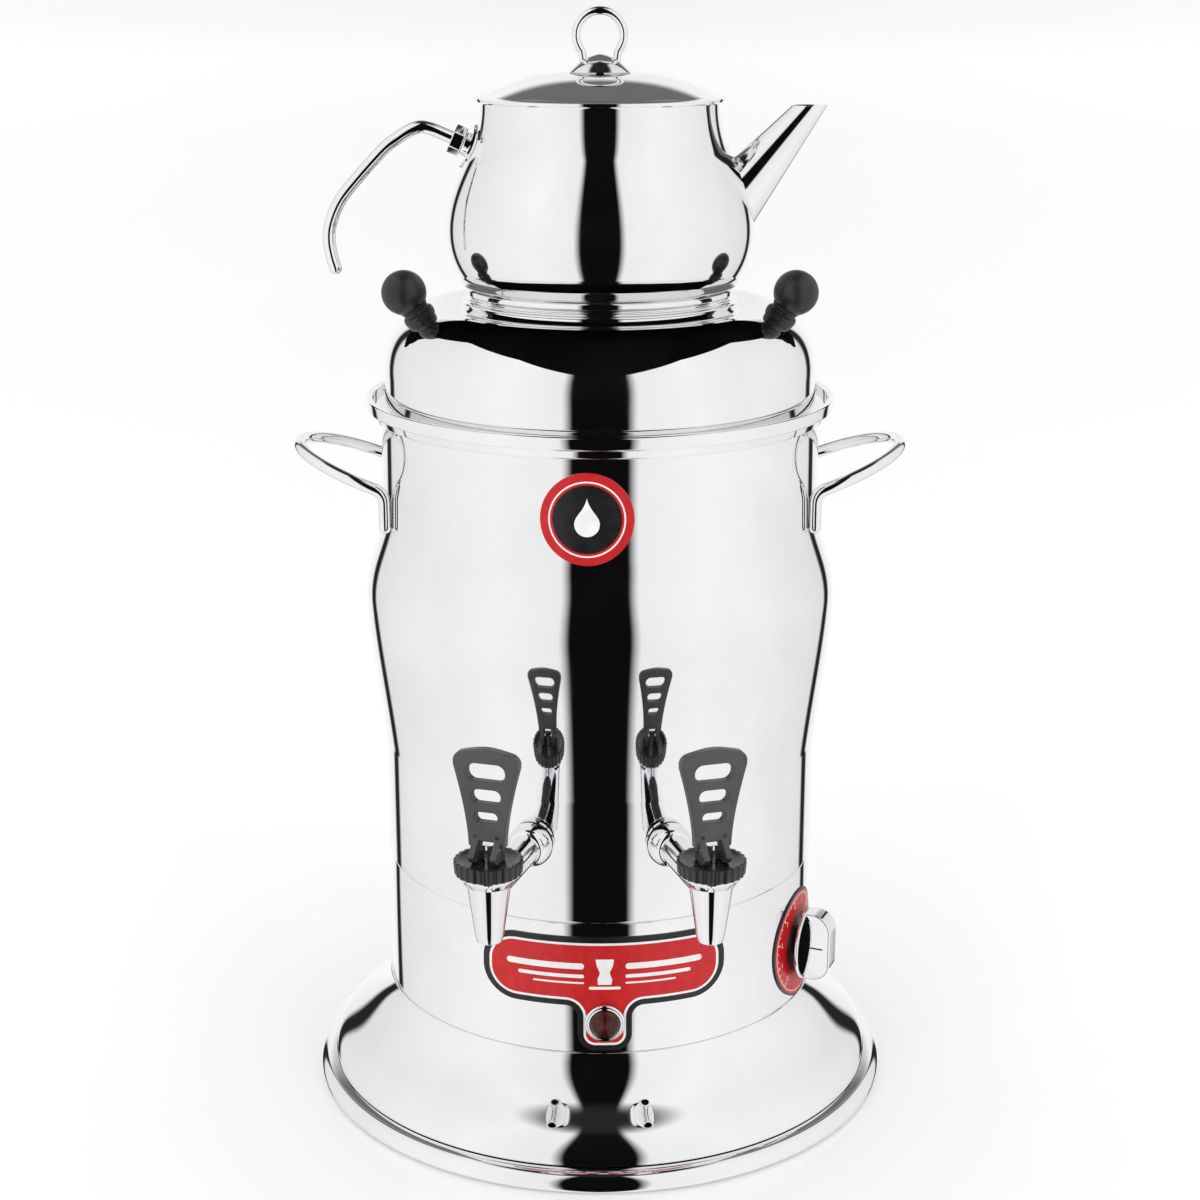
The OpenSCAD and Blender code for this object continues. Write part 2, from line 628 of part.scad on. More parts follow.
// A sheet bent round the drum, with its outer face t outside the drum
module on_drum(t) rotate_extrude() polygon([
  [drum_at(drum_z) + play, drum_z], [drum_at(drum_z) + t, drum_z],
  [drum_at(drum_top) + t, drum_top], [drum_at(drum_top) + play, drum_top]]);
module stamp(z) translate([0, -60, z]) rotate([90, 0, 0]) linear_extrude(80) children();

lamp_z = drum_z + lamp_rise;
lamp_shank_r = 6.5;
tab_bottom = drum_z + 1.7;
tab_round = 7.3;
module dial_plate() color("firebrick") difference() {
  intersection() {
    on_drum(plate_t);
    at_azimuth(dial_az) outward(dial_r, drum_r - 40, drum_r + 10, dial_z);
  }
  at_azimuth(dial_az) outward(bush_r + play, drum_r - 20, drum_r + 10, dial_z);
}
module nameplate() color("firebrick") difference() {
  intersection() {
    on_drum(plate_t);
    at_azimuth(plate_az) stamp(0) {
      for (side = [-1, 1])
        translate([side * (plate_w - plate_h) / 2, drum_z + plate_rise]) circle(plate_h / 2);
      translate([(plate_h - plate_w) / 2, drum_z + plate_rise - plate_h / 2])
        square([plate_w - plate_h, plate_h]);
      for (side = [-1, 1])
        translate([side * (tab_w / 2 - tab_round), tab_bottom + tab_round]) circle(tab_round);
      translate([tab_round - tab_w / 2, tab_bottom]) square([tab_w - 2 * tab_round, tab_round]);
      translate([-tab_w / 2, tab_bottom + tab_round])
        square([tab_w, drum_z + plate_rise - tab_bottom - tab_round]);
    }
  }
  at_azimuth(plate_az) outward(lamp_shank_r + play, drum_r - 20, drum_r + 10, lamp_z);
}
module badge() color("firebrick") intersection() {
  rotate_extrude() polygon(concat(beside(neck_line, -play), backwards(beside(neck_line, -plate_t))));
  at_azimuth(badge_az) stamp(neck_z + badge_rise) circle(badge_r);
}

lamp_seat = drum_at(lamp_z - lamp_r) + plate_t + play;
lens_r = lamp_r - 2.9;
module pilot_lamp() color("silver") at_azimuth(plate_az) outward_turned(lamp_z) polygon([
  [0, lamp_seat - 16], [lamp_shank_r, lamp_seat - 16], [lamp_shank_r, lamp_seat], [lamp_r, lamp_seat],
  [lamp_r, lamp_seat + 2], [lamp_r - 1, lamp_seat + 3], [lens_r, lamp_seat + 3],
  [lens_r, lamp_seat + 1], [0, lamp_seat + 1]]);
module pilot_lens() color("brown") at_azimuth(plate_az) outward_turned(lamp_z) polygon(concat(
  [[0, lamp_seat + 1], [lens_r, lamp_seat + 1]],
  [for (a = [0 : 15 : 90]) [lens_r * cos(a), lamp_seat + 3 + 2.6 * sin(a)]]));

knob_back = plate_front + 0.7;
hub_r = bush_nut_r + 1.9;
disc_back = knob_back + 2.8;
disc_front = disc_back + 2.2;
grip_half = knob_r - 0.6;
grip_round = 10;
shaft_end = knob_back + knob_h - 6;
module thermostat_knob() color("silver") at_azimuth(dial_az) difference() {
  // The grip's corners are round where it stands away from the disc
  union() {
    outward_turned(dial_z) polygon([[0, knob_back], [hub_r, knob_back], [hub_r, disc_back],
      [knob_r - 0.6, disc_back], [knob_r, disc_back + 0.6], [knob_r, disc_front - 0.6],
      [knob_r - 0.6, disc_front], [0, disc_front]]);
    translate([-grip_w / 2, 0, dial_z]) rotate([90, 0, 90]) linear_extrude(grip_w) polygon(concat(
      [[-disc_back - 1, -grip_half], [-disc_back - 1, grip_half]],
      arc([grip_round - knob_back - knob_h, grip_half - grip_round], grip_round, 90, 180, 8),
      arc([grip_round - knob_back - knob_h, grip_round - grip_half], grip_round, 180, 270, 8)));
  }
  outward(bush_nut_r + 0.5, knob_back - 1, knob_back + 3, dial_z);
  outward(shaft_r, knob_back, shaft_end, dial_z);
}
module thermostat_shaft() color("gray")
  at_azimuth(dial_az) outward(shaft_r, can_back + 9, shaft_end, dial_z);

// ---- taps ----

seat_z = tap_z - 0.5;
outlet_z = seat_z - outlet_drop;
bowl_z = tap_z + 4.5;
bowl_top = tap_z + 10;
spigot_h = 3.5;
spigot_r = bowl_r - 3.5;
chamber_r = 9;
escutcheon_r = 12;
ceiling_z = bowl_top + spigot_h + play;
recess_z = bowl_top + bonnet_h - 1.5;
cam_r = 5.2;
pivot_z = recess_z + gap + cam_r;
module at_valve() translate([0, -valve_reach, 0]) children();

module tap_body(side) color("silver") at_azimuth(side * tap_az) difference() {
  union() {
    outward(tap_shank_r, tank_r - 14, tank_r + seal_t + 2, tap_z);
    outward_turned(tap_z) polygon(concat([[0, tank_r + seal_t], [escutcheon_r, tank_r + seal_t]],
      [for (a = [10 : 16 : 74]) [tap_tube_r + (escutcheon_r - tap_tube_r) * cos(a),
        tank_r + seal_t + 1.5 + 7.5 * sin(a)]], [[0, tank_r + seal_t + 9]]));
    outward(tap_tube_r, tank_r + seal_t + 4, valve_reach, tap_z);
    at_valve() rotate_extrude() polygon([[0, outlet_z], [outlet_r - 1.2, outlet_z],
      [outlet_r - 0.2, outlet_z + 0.8], [outlet_r, outlet_z + 2],
      [outlet_r + 4.2, bowl_z], [outlet_r + 4.8, bowl_z + 0.6],
      [bowl_r - 1.2, bowl_top - 2.4], [bowl_r, bowl_top - 1], [bowl_r, bowl_top],
      [spigot_r, bowl_top], [spigot_r, bowl_top + spigot_h], [0, bowl_top + spigot_h]]);
  }
  outward(passage_r - 0.8, tank_r - 20, valve_reach - chamber_r + 1, tap_z);
  at_valve() {
    translate([0, 0, outlet_z - 1]) cylinder(h = outlet_drop + 2, r = passage_r);
    translate([0, 0, seat_z]) cylinder(h = 40, r = chamber_r);
  }
}
module left_tap_body() tap_body(-1);
module right_tap_body() tap_body(1);

module tap_seals() color("black") each_tap() difference() {
  outward(escutcheon_r - 0.6, tank_r + play, tank_r + seal_t, tap_z);
  outward(tap_shank_r + play, tank_r - 9, tank_r + 9, tap_z);
}
locknut_r = tap_shank_r + 4.5;
module tap_locknuts() color("goldenrod") each_tap() difference() {
  face = sqrt(wall_in_r * wall_in_r - locknut_r * locknut_r) - play;
  outward(locknut_r, face - 6, face, tap_z, sides = 6);
  outward(tap_shank_r + play, face - 9, face + 9, tap_z);
}

module tap_bonnets() color("#222222") each_tap() at_valve() difference() {
  translate([0, 0, bowl_top]) linear_extrude(bonnet_h) polygon([
    for (i = [0 : 6 * rib_count - 1]) let (a = 60 * i / rib_count)
      (bonnet_r + 0.35 * cos(60 * i)) * [cos(a), sin(a)]]);
  translate([0, 0, bowl_top - 1]) cylinder(h = 1 + ceiling_z - bowl_top, r = spigot_r + play);
  translate([0, 0, recess_z]) cylinder(h = 9, r = bonnet_r - 2.2);
  translate([0, 0, bowl_top]) cylinder(h = 30, r = stem_r + play);
}

cup_h = 5;
cup_r = chamber_r - 1.7;
spring_z = seat_z + cup_h + 1;
stem_top = pivot_z + pin_r + 2;
module tap_stem(side) color("silver") at_azimuth(side * tap_az) at_valve() difference() {
  union() {
    translate([0, 0, seat_z + 2]) cylinder(h = stem_top - seat_z - 2, r = stem_r);
    translate([0, 0, seat_z + cup_h]) cylinder(h = 1, r = stem_r + 2.8);
  }
  translate([0, 0, pivot_z]) rotate([0, 90, 0]) cylinder(h = 30, r = pin_r, center = true);
}
module left_stem() tap_stem(-1);
module right_stem() tap_stem(1);

module tap_seat(side) color("#333333") at_azimuth(side * tap_az) at_valve() difference() {
  translate([0, 0, seat_z]) cylinder(h = cup_h, r = cup_r);
  translate([0, 0, seat_z + 2]) cylinder(h = cup_h, r = stem_r);
}
module left_seat() tap_seat(-1);
module right_seat() tap_seat(1);

fork_w = 14.4;
module tap_pin(side) color("silver") at_azimuth(side * tap_az) at_valve()
  translate([0, 0, pivot_z]) rotate([0, 90, 0]) cylinder(h = fork_w, r = pin_r, center = true);
module left_pin() tap_pin(-1);
module right_pin() tap_pin(1);

spring_wire_r = 0.55;
spring_turns = 3;
module tap_spring(side) color("silver") at_azimuth(side * tap_az) at_valve() {
  coil = stem_r + 1.75;
  low = spring_z + spring_wire_r + play;
  high = ceiling_z - spring_wire_r - play;
  rod([for (i = [0 : 16 * spring_turns]) let (a = 22.5 * i, f = i / (16 * spring_turns))
    [coil * cos(a), coil * sin(a), low + (high - low) * f]], spring_wire_r, 8, [0, 0, 1]);
}
module left_spring() tap_spring(-1);
module right_spring() tap_spring(1);

// Distance of the cam's edge from the pivot grows by cam_rate for each radian of tilt
cam_rate = stem_lift / (lever_tilt * PI / 180);
cam = [for (a = [0 : 6 : lever_tilt + 6]) let (s = cam_r + cam_rate * a * PI / 180)
  [-s * sin(a) - cam_rate * cos(a), -s * cos(a) + cam_rate * sin(a)]];
module slot(w, h, z) translate([0, z]) {
  square([w - h, h], center = true);
  for (side = [-1, 1]) translate([side * (w - h) / 2, 0]) circle(h / 2);
}
module lever(side) color("#2b2b2b") at_azimuth(side * tap_az) at_valve() translate([0, 0, pivot_z]) {
  corner = 5.5;
  edge = concat(
    curve([lever_foot_w / 2, 2.5], [lever_foot_w / 2 + 0.4, 0.3 * lever_h],
      [lever_w / 2 - 3.8, 0.58 * lever_h], [lever_w / 2 - 0.1, lever_h - 9], 8),
    arc([lever_w / 2 - corner, lever_h - 7.5], corner, 10, 66, 5),
    curve([lever_w / 2 - corner + 2, lever_h - 2.3], [7.5, lever_h - 0.7], [3, lever_h], [0, lever_h], 5));
  difference() {
    union() {
      translate([0, lever_t / 2, 0]) rotate([90, 0, 0]) linear_extrude(lever_t)
        polygon(concat(edge, [for (q = backwards(edge)) [-q.x, q.y]]));
      translate([-fork_w / 2, 0, 0]) rotate([90, 0, 90]) linear_extrude(fork_w)
        polygon(concat([[4.6, -cam_r]], cam,
          [[-lever_t / 2, 7], [-lever_t / 2, 9], [lever_t / 2, 9], [4.6, 3]]));
    }
    translate([0, 20, 0]) rotate([90, 0, 0]) linear_extrude(40) {
      slot(0.58 * lever_w, 9, lever_h - 12.2);
      slot(0.44 * lever_w, 7.2, lever_h - 24.6);
      slot(0.335 * lever_w, 5.2, lever_h - 35.4);
    }
    // The fork's gap round the stem
    translate([-stem_r - 1, -20, -20]) cube([2 * stem_r + 2, 40, 20 + norm([stem_r, pin_r + 2]) + gap]);
    rotate([0, 90, 0]) cylinder(h = 60, r = pin_r + play, center = true);
  }
}
module left_lever() lever(-1);
module right_lever() lever(1);

// ---- lid with its ball knobs ----

module lid_core() turned_core(lid_outside, gutter_z, lid_outside[len(lid_outside) - 1].y);
ball_seat_z = lookup(ball_seat_r, [for (q = lid_outside) if (q.y > lid_round_z + 5) [q.x, q.y]]);
module each_ball() for (side = [-1, 1]) at_azimuth(side * ball_az)
  translate([0, -ball_seat_r, ball_seat_z]) rotate([ball_lean, 0, 0]) children();

module lid_shell() color("gainsboro") difference() {
  turned_sheet(lid_line, sheet);
  each_ball() cylinder(h = 20, r = screw_r + play, center = true);
}
module knob_barrels() color("#1c1c1c") difference() {
  each_ball() rotate_extrude() polygon([[screw_r, -6], [barrel_r - 0.9, -6], [barrel_r - 0.4, 0.6],
    [barrel_r, barrel_h * 0.5], [barrel_r - 0.5, barrel_h - 1],
    [barrel_r - 1.8, barrel_h], [screw_r, barrel_h]]);
  lid_core();
}
module knob_balls() color("#1c1c1c") each_ball() difference() {
  union() {
    // A groove parts the neck from the flange under the ball
    translate([0, 0, barrel_h]) rotate_extrude() polygon([[0, 0], [barrel_r - 1.8, 0],
      [barrel_r - 1.8, 1.1], [barrel_r - 2.5, 1.6], [barrel_r - 1.2, 2], [barrel_r - 1.2, 2.7],
      [barrel_r - 1.6, 3.2], [0, 3.2]]);
    translate([0, 0, barrel_h + ball_r + 0.2]) sphere(ball_r);
  }
  cylinder(h = barrel_h + 10, r = screw_r);
}
module knob_screws() color("gray") each_ball() {
  translate([0, 0, -4.4]) cylinder(h = 2.8, r = 1.7 * screw_r);
  translate([0, 0, -2]) cylinder(h = barrel_h + 11, r = screw_r);
}

// ---- teapot ----

module pot_core() turned_core([for (q = pot_line) if (q.x > 1) q], pot_z, pot_rim_z);
module along_spout()
  translate([spout_reach, 0, pot_rim_z - 2.5]) rotate([0, 90 - spout_rise, 0]) children();
spout_back = 75;
spout_over = 15;
module spout_cone(r) along_spout() translate([0, 0, -spout_back]) cylinder(
  h = spout_back + spout_over,
  r1 = r + spout_back * tan(spout_half),
  r2 = r - spout_over * tan(spout_half));

module pot_body() color("gainsboro") difference() {
  turned_sheet(pot_line, pot_sheet);
  for (row = [-2 : 2]) for (column = row % 2 == 0 ? [-1 : 1] : [-0.5 : 0.5])
    translate([0, 7 * column, pot_belly_z + 22 + 6.2 * row])
      rotate([0, 90, 0]) cylinder(h = 120, r = strainer_r);
}
module pot_base() color("silver") rotate_extrude() polygon([[0, collar_z], [pot_base_r - 0.6, collar_z],
  [pot_base_r, collar_z + 0.5], [pot_base_r, collar_z + 1.8], [pot_base_r - 1, collar_z + 2.5],
  [pot_base_r - 0.2, collar_z + 3.4], [pot_base_r, pot_z - 1.4], [pot_base_r - 0.8, pot_z], [0, pot_z]]);
module pot_spout() color("gainsboro") difference() {
  spout_cone(spout_mouth_r);
  spout_cone(spout_mouth_r - pot_sheet);
  pot_core();
  translate([0, -50, pot_rim_z - 2.5]) cube([200, 100, 60]);
}

handle_rise = 24.3;
handle_root = [-(pot_root_r - 0.5), 0, pot_root_z + 2.2];
module along_handle() translate(handle_root) rotate([0, handle_rise - 90, 0]) children();
// Bends of the handle, measured from its root, outwards and up
pot_handle_bends = [[17, 7.7], [25.5, 10.6], [32, 7.8], [46, -1.8], [60.5, -17.2], [70, -29],
  [75.2, -41], [76.2, -50], [74.9, -58.5], [73.2, -64.5]];
pot_handle_route = concat([4 * [cos(handle_rise), sin(handle_rise)]], pot_handle_bends);
module pot_handle() color("silver")
  rod(through([for (q = pot_handle_route) handle_root + [-q.x, 0, q.y]], 4), pot_handle_d / 2, nose = true);
bracket_t = 1.2;
module handle_bracket() color("silver") {
  intersection() {
    rotate_extrude() polygon(concat(pot_wall, backwards(beside(pot_wall, -bracket_t))));
    along_handle() translate([0, 0, -20]) cylinder(h = 40, r = 12.5);
  }
  difference() {
    along_handle() translate([0, 0, -8]) cylinder(h = 12, r = 6.5);
    pot_core();
  }
}
module handle_nut() color("silver") along_handle() translate([0, 0, 4]) difference() {
  cylinder(h = 6.5, r = 8, $fn = 6);
  cylinder(h = 30, r = pot_handle_d / 2 + play, center = true);
}

// ---- teapot lid ----

lid_plug_r = pot_mouth_r - pot_sheet - 0.9;
brim_r = pot_mouth_r + brim_w;
crown_line = concat(
  [[brim_r, brim_z + pot_sheet], [lid_plug_r + 0.4, brim_z + pot_sheet]],
  curve([lid_plug_r - 1, brim_z + pot_sheet + 0.6], [lid_plug_r - 6, brim_z + pot_sheet + 4],
    [cap_r + 0.465 * (lid_plug_r - cap_r), crown_z], [cap_r + 1, crown_z], 14),
  [[screw_r, crown_z]]
);
module pot_lid() color("gainsboro") {
  turned_sheet(crown_line, pot_sheet);
  translate([0, 0, brim_z - 6]) difference() {
    cylinder(h = 6 + pot_sheet / 2, r = lid_plug_r);
    cylinder(h = 30, r = lid_plug_r - pot_sheet, center = true);
  }
}

ring_z = crown_z + cap_h + ring_rise;
ring_gap = 40;
leg_top = [ring_r * cos(ring_gap), 0, ring_z - ring_r * sin(ring_gap)];
leg_foot = [leg_top.x - 1.4, 0, crown_z + 1.5];
leg_lean = atan2(leg_top.x - leg_foot.x, leg_top.z - leg_foot.z);
module ring_legs() for (side = [0, 180]) rotate([0, 0, side])
  translate(leg_foot) rotate([0, leg_lean, 0]) cylinder(h = norm(leg_top - leg_foot), r = ring_d / 2);
module lid_ring() color("silver") rod(concat([leg_foot],
  [for (a = [-ring_gap : 10 : 180 + ring_gap]) [ring_r * cos(a), 0, ring_z + ring_r * sin(a)]],
  [[-leg_foot.x, 0, leg_foot.z]]), ring_d / 2 - play);
module lid_cap() color("silver") difference() {
  rotate_extrude() polygon(concat([[0, crown_z], [cap_r - 1.2, crown_z]],
    curve([cap_r, crown_z + 0.6], [cap_r - 3.8, crown_z + 4.8], [8, crown_z + cap_h - 1.2],
      [0, crown_z + cap_h], 10)));
  ring_legs();
  translate([0, 0, crown_z - 1]) cylinder(h = 7, r = screw_r);
}
module lid_screw() color("gray") {
  translate([0, 0, crown_z - pot_sheet - 2.4]) cylinder(h = 2.4, r = 2 * screw_r);
  translate([0, 0, crown_z - pot_sheet]) cylinder(h = 5.6, r = screw_r);
}

base_rim();
base_skirt();
base_drum();
base_plate();
rubber_feet();
base_screws();
tank_shell();
tank_floor();
tank_rim();
left_handle();
right_handle();
heating_element();
element_seals();
element_nuts();
dry_boil_cutout();
thermostat_body();
thermostat_nut();
thermostat_bulb();
bulb_clip();
terminal_block();
cable_gland();
gland_nut();
pilot_lamp();
pilot_lens();
dial_plate();
nameplate();
badge();
left_tap_body();
right_tap_body();
tap_seals();
tap_locknuts();
tap_bonnets();
left_stem();
left_seat();
left_pin();
left_spring();
left_lever();
right_stem();
right_seat();
right_pin();
right_spring();
right_lever();
thermostat_knob();
thermostat_shaft();
lid_shell();
knob_barrels();
knob_balls();
knob_screws();
pot_body();
pot_base();
pot_spout();
pot_handle();
handle_bracket();
handle_nut();
pot_lid();
lid_cap();
lid_ring();
lid_screw();
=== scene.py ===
"""Looks of an electric tea urn with two taps and a teapot standing on its lid.

Lengths in this script are millimetres until a mesh is made; the meshes are in metres, in the frame's own
axes.
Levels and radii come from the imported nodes, and what the nodes don't tell is named below.
"""

import json
from math import asin, atan, cos, degrees, hypot, pi, radians, sin, sqrt, tan

import bmesh
import bpy
from mathutils import Matrix, Vector


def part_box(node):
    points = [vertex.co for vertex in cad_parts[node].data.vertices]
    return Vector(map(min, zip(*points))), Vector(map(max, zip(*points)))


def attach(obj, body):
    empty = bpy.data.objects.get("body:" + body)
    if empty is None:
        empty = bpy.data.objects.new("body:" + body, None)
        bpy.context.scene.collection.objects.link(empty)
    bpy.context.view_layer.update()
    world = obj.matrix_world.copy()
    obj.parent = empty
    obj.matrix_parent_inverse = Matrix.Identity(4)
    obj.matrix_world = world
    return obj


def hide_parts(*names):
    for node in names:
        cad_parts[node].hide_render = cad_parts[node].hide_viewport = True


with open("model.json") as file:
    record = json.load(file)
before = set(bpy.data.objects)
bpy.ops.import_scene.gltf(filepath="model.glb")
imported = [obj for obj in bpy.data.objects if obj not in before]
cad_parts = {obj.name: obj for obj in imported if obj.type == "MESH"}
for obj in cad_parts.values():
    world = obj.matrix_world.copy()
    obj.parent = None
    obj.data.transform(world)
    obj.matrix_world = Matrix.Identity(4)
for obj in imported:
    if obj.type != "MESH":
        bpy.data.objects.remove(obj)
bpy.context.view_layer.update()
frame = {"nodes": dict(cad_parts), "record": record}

MM = 0.001
ROUND = 256  # steps round a large turned shell
ROD_SIDES = 32
CREASE = radians(32)  # edges that turn more than this stay sharp to the eye

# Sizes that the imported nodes' boxes don't give
SHEET = 1.0
POT_SHEET = 0.8
RUNNING_FIT = 0.06
DRUM_DRAFT = 1.7
SEAM_R = 1.6
LEDGE_W = 9.0
RIM_W = 12.0
ROLL_R = 2.4
TAP_AZ = 17.2
DIAL_AZ = 66.8
PLATE_AZ = 1.2
BADGE_AZ = -3.1
BALL_AZ = 69.0
BALL_LEAN = 33.0
BALL_SEAT_R = 100.5
BALL_R = 11.8
HANDLE_SLOPE = 0.38
SPOUT_RISE = 50.2
SPOUT_HALF = 8.4
POT_HANDLE_RISE = 24.3


# ---------------- frame

def low(node):
    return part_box(node)[0] / MM


def high(node):
    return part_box(node)[1] / MM


def middle(node):
    """The height of a node's middle, and half of the node's own height."""
    return (low(node).z + high(node).z) / 2, (high(node).z - low(node).z) / 2


def home(node):
    """The body that a node belongs to."""
    groups = frame["record"]["behaviour"]["bodies"]
    return next(body for body, members in groups.items() if node in members)


# ---------------- curves in the plane

def cubic(a, b, c, d, steps):
    """Points on the cubic curve that leaves a towards b and reaches d from c."""
    a, b, c, d = Vector(a), Vector(b), Vector(c), Vector(d)
    points = []
    for i in range(steps + 1):
        t = i / steps
        s = 1 - t
        points.append(s**3 * a + 3 * s * s * t * b + 3 * s * t * t * c + t**3 * d)
    return points


def through(points, steps):
    """A smooth curve through every point, with that many steps between neighbours."""
    p = [Vector(q) for q in points]
    curve = []
    for i in range(len(p) - 1):
        a, d = p[i], p[i + 1]
        before, after = p[max(i - 1, 0)], p[min(i + 2, len(p) - 1)]
        curve += cubic(a, a + (d - before) / 6, d - (after - a) / 6, d, steps)[:-1]
    return curve + [p[-1]]


def arc(centre, radius, start, end, steps):
    """Points on an arc, with angles in degrees."""
    turn = [radians(start + (end - start) * i / steps) for i in range(steps + 1)]
    return [Vector((centre[0] + radius * cos(a), centre[1] + radius * sin(a))) for a in turn]


def rounded(corners, steps=6, closed=True):
    """An outline whose corners, given as (x, y) or (x, y, radius), are rounded."""
    points = []
    count = len(corners)
    for i, corner in enumerate(corners):
        here = Vector(corner[:2])
        radius = corner[2] if len(corner) > 2 else 0
        if radius == 0 or (not closed and i in (0, count - 1)):
            points.append(here)
            continue
        back = (Vector(corners[i - 1][:2]) - here).normalized()
        ahead = (Vector(corners[(i + 1) % count][:2]) - here).normalized()
        half = back.angle(ahead) / 2
        if half > pi / 2 - 1e-3:
            points.append(here)
            continue
        start = here + back * radius / tan(half)
        end = here + ahead * radius / tan(half)
        centre = here + (back + ahead).normalized() * radius / sin(half)
        first, last = start - centre, end - centre
        sweep = first.angle_signed(last)
        for k in range(steps + 1):
            points.append(centre + Matrix.Rotation(-sweep * k / steps, 2) @ first)
    return points


def circle(radius, steps=120):
    return arc((0, 0), radius, 0, 360, steps)[:-1]


def stadium(width, height, centre_y):
    """Outline of a slot with round ends."""
    half = (width - height) / 2
    right = arc((half, centre_y), height / 2, -90, 90, 14)
    return right + arc((-half, centre_y), height / 2, 90, 270, 14)[:-1]


def mirrored(points):
    return [Vector((-q.x, q.y)) for q in points]


def beside(line, offset):
    """The line moved to its left by offset."""
    line = [Vector(point) for point in line]
    moved = []
    for i, point in enumerate(line):
        along = (line[min(i + 1, len(line) - 1)] - line[max(i - 1, 0)]).normalized()
        moved.append(point + offset * Vector((-along.y, along.x)))
    return moved


def sheet_of(line, thickness):
    """Closed outline of sheet metal whose outer face follows the line."""
    return list(line) + beside(line, thickness)[::-1]


def radius_at(line, z):
    """Radius of an outline at a height."""
    for a, b in zip(line, line[1:]):
        if min(a.y, b.y) <= z <= max(a.y, b.y) and a.y != b.y:
            return a.x + (b.x - a.x) * (z - a.y) / (b.y - a.y)
    return line[-1].x if z > line[-1].y else line[0].x


# ---------------- meshes

def mesh_of(points, faces, place=None):
    """A mesh in metres from points in millimetres, smooth with sharp creases."""
    bm = bmesh.new()
    verts = [bm.verts.new(Vector(p) * MM) for p in points]
    for face in faces:
        bm.faces.new([verts[i] for i in face])
    bmesh.ops.recalc_face_normals(bm, faces=bm.faces)
    return finished(written(bm), place)


def written(bm):
    mesh = bpy.data.meshes.new("mesh")
    bm.to_mesh(mesh)
    bm.free()
    return mesh


def finished(mesh, place=None):
    if place is not None:
        mesh.transform(place)
    mesh.polygons.foreach_set("use_smooth", [True] * len(mesh.polygons))
    mesh.set_sharp_from_angle(angle=CREASE)
    return mesh


def bridged(rings, closed=True):
    """Faces between neighbouring rings of points. A ring may be one point over and over."""
    faces = []
    size = len(rings[0])
    for a, b in zip(rings, rings[1:] + rings[:1] if closed else rings[1:]):
        for k in range(size):
            corners = list(dict.fromkeys([a[k], a[(k + 1) % size], b[(k + 1) % size], b[k]]))
            if len(corners) > 2:
                faces.append(corners)
    return faces


def rings_of(points, size):
    """The numbers of the points, in rings of that many."""
    return [range(start, start + size) for start in range(0, len(points), size)]


def turned(outline, place=None, steps=ROUND):
    """A solid turned about Z from a closed outline of (radius, height)."""
    points, rings = [], []
    for radius, z in map(Vector, outline):
        if radius < 1e-6:
            rings.append([len(points)] * steps)
            points.append((0, 0, z))
            continue
        rings.append(range(len(points), len(points) + steps))
        for k in range(steps):
            turn = 2 * pi * k / steps
            points.append((radius * cos(turn), radius * sin(turn), z))
    return mesh_of(points, bridged(rings), place)


def swept(path, radius, ends=(False, False)):
    """A round rod along a path. An end marked True is domed, and the others are flat with a round edge."""
    path = [Vector(p) for p in path]
    cap = [(cos(a), sin(a)) for a in (radians(15 * k) for k in range(1, 6))]
    edge = 0.12  # the round edge of a flat end, as a share of the radius

    def closing(point, out, domed):
        if domed:
            return [(point + out * radius * s, radius * c) for c, s in cap] + [(point + out * radius, 0)]
        return [(point + out * radius * edge * s, radius * (1 - edge + edge * c)) for c, s in cap] + [
            (point + out * radius * edge, 0)]

    tail = closing(path[-1], (path[-1] - path[-2]).normalized(), ends[1])
    head = closing(path[0], (path[0] - path[1]).normalized(), ends[0])[::-1]
    stations = head + [(p, radius) for p in path] + tail
    points, rings = [], []
    side = Vector((0, 1, 0))
    for i, (point, size) in enumerate(stations):
        near = stations[max(i - 1, 0)][0]
        far = stations[min(i + 1, len(stations) - 1)][0]
        along = (far - near).normalized()
        side = (side - side.dot(along) * along).normalized()
        over = along.cross(side)
        if size == 0:
            rings.append([len(points)] * ROD_SIDES)
            points.append(point)
            continue
        rings.append(range(len(points), len(points) + ROD_SIDES))
        for k in range(ROD_SIDES):
            turn = 2 * pi * k / ROD_SIDES
            points.append(point + size * (cos(turn) * side + sin(turn) * over))
    return mesh_of(points, bridged(rings, closed=False))


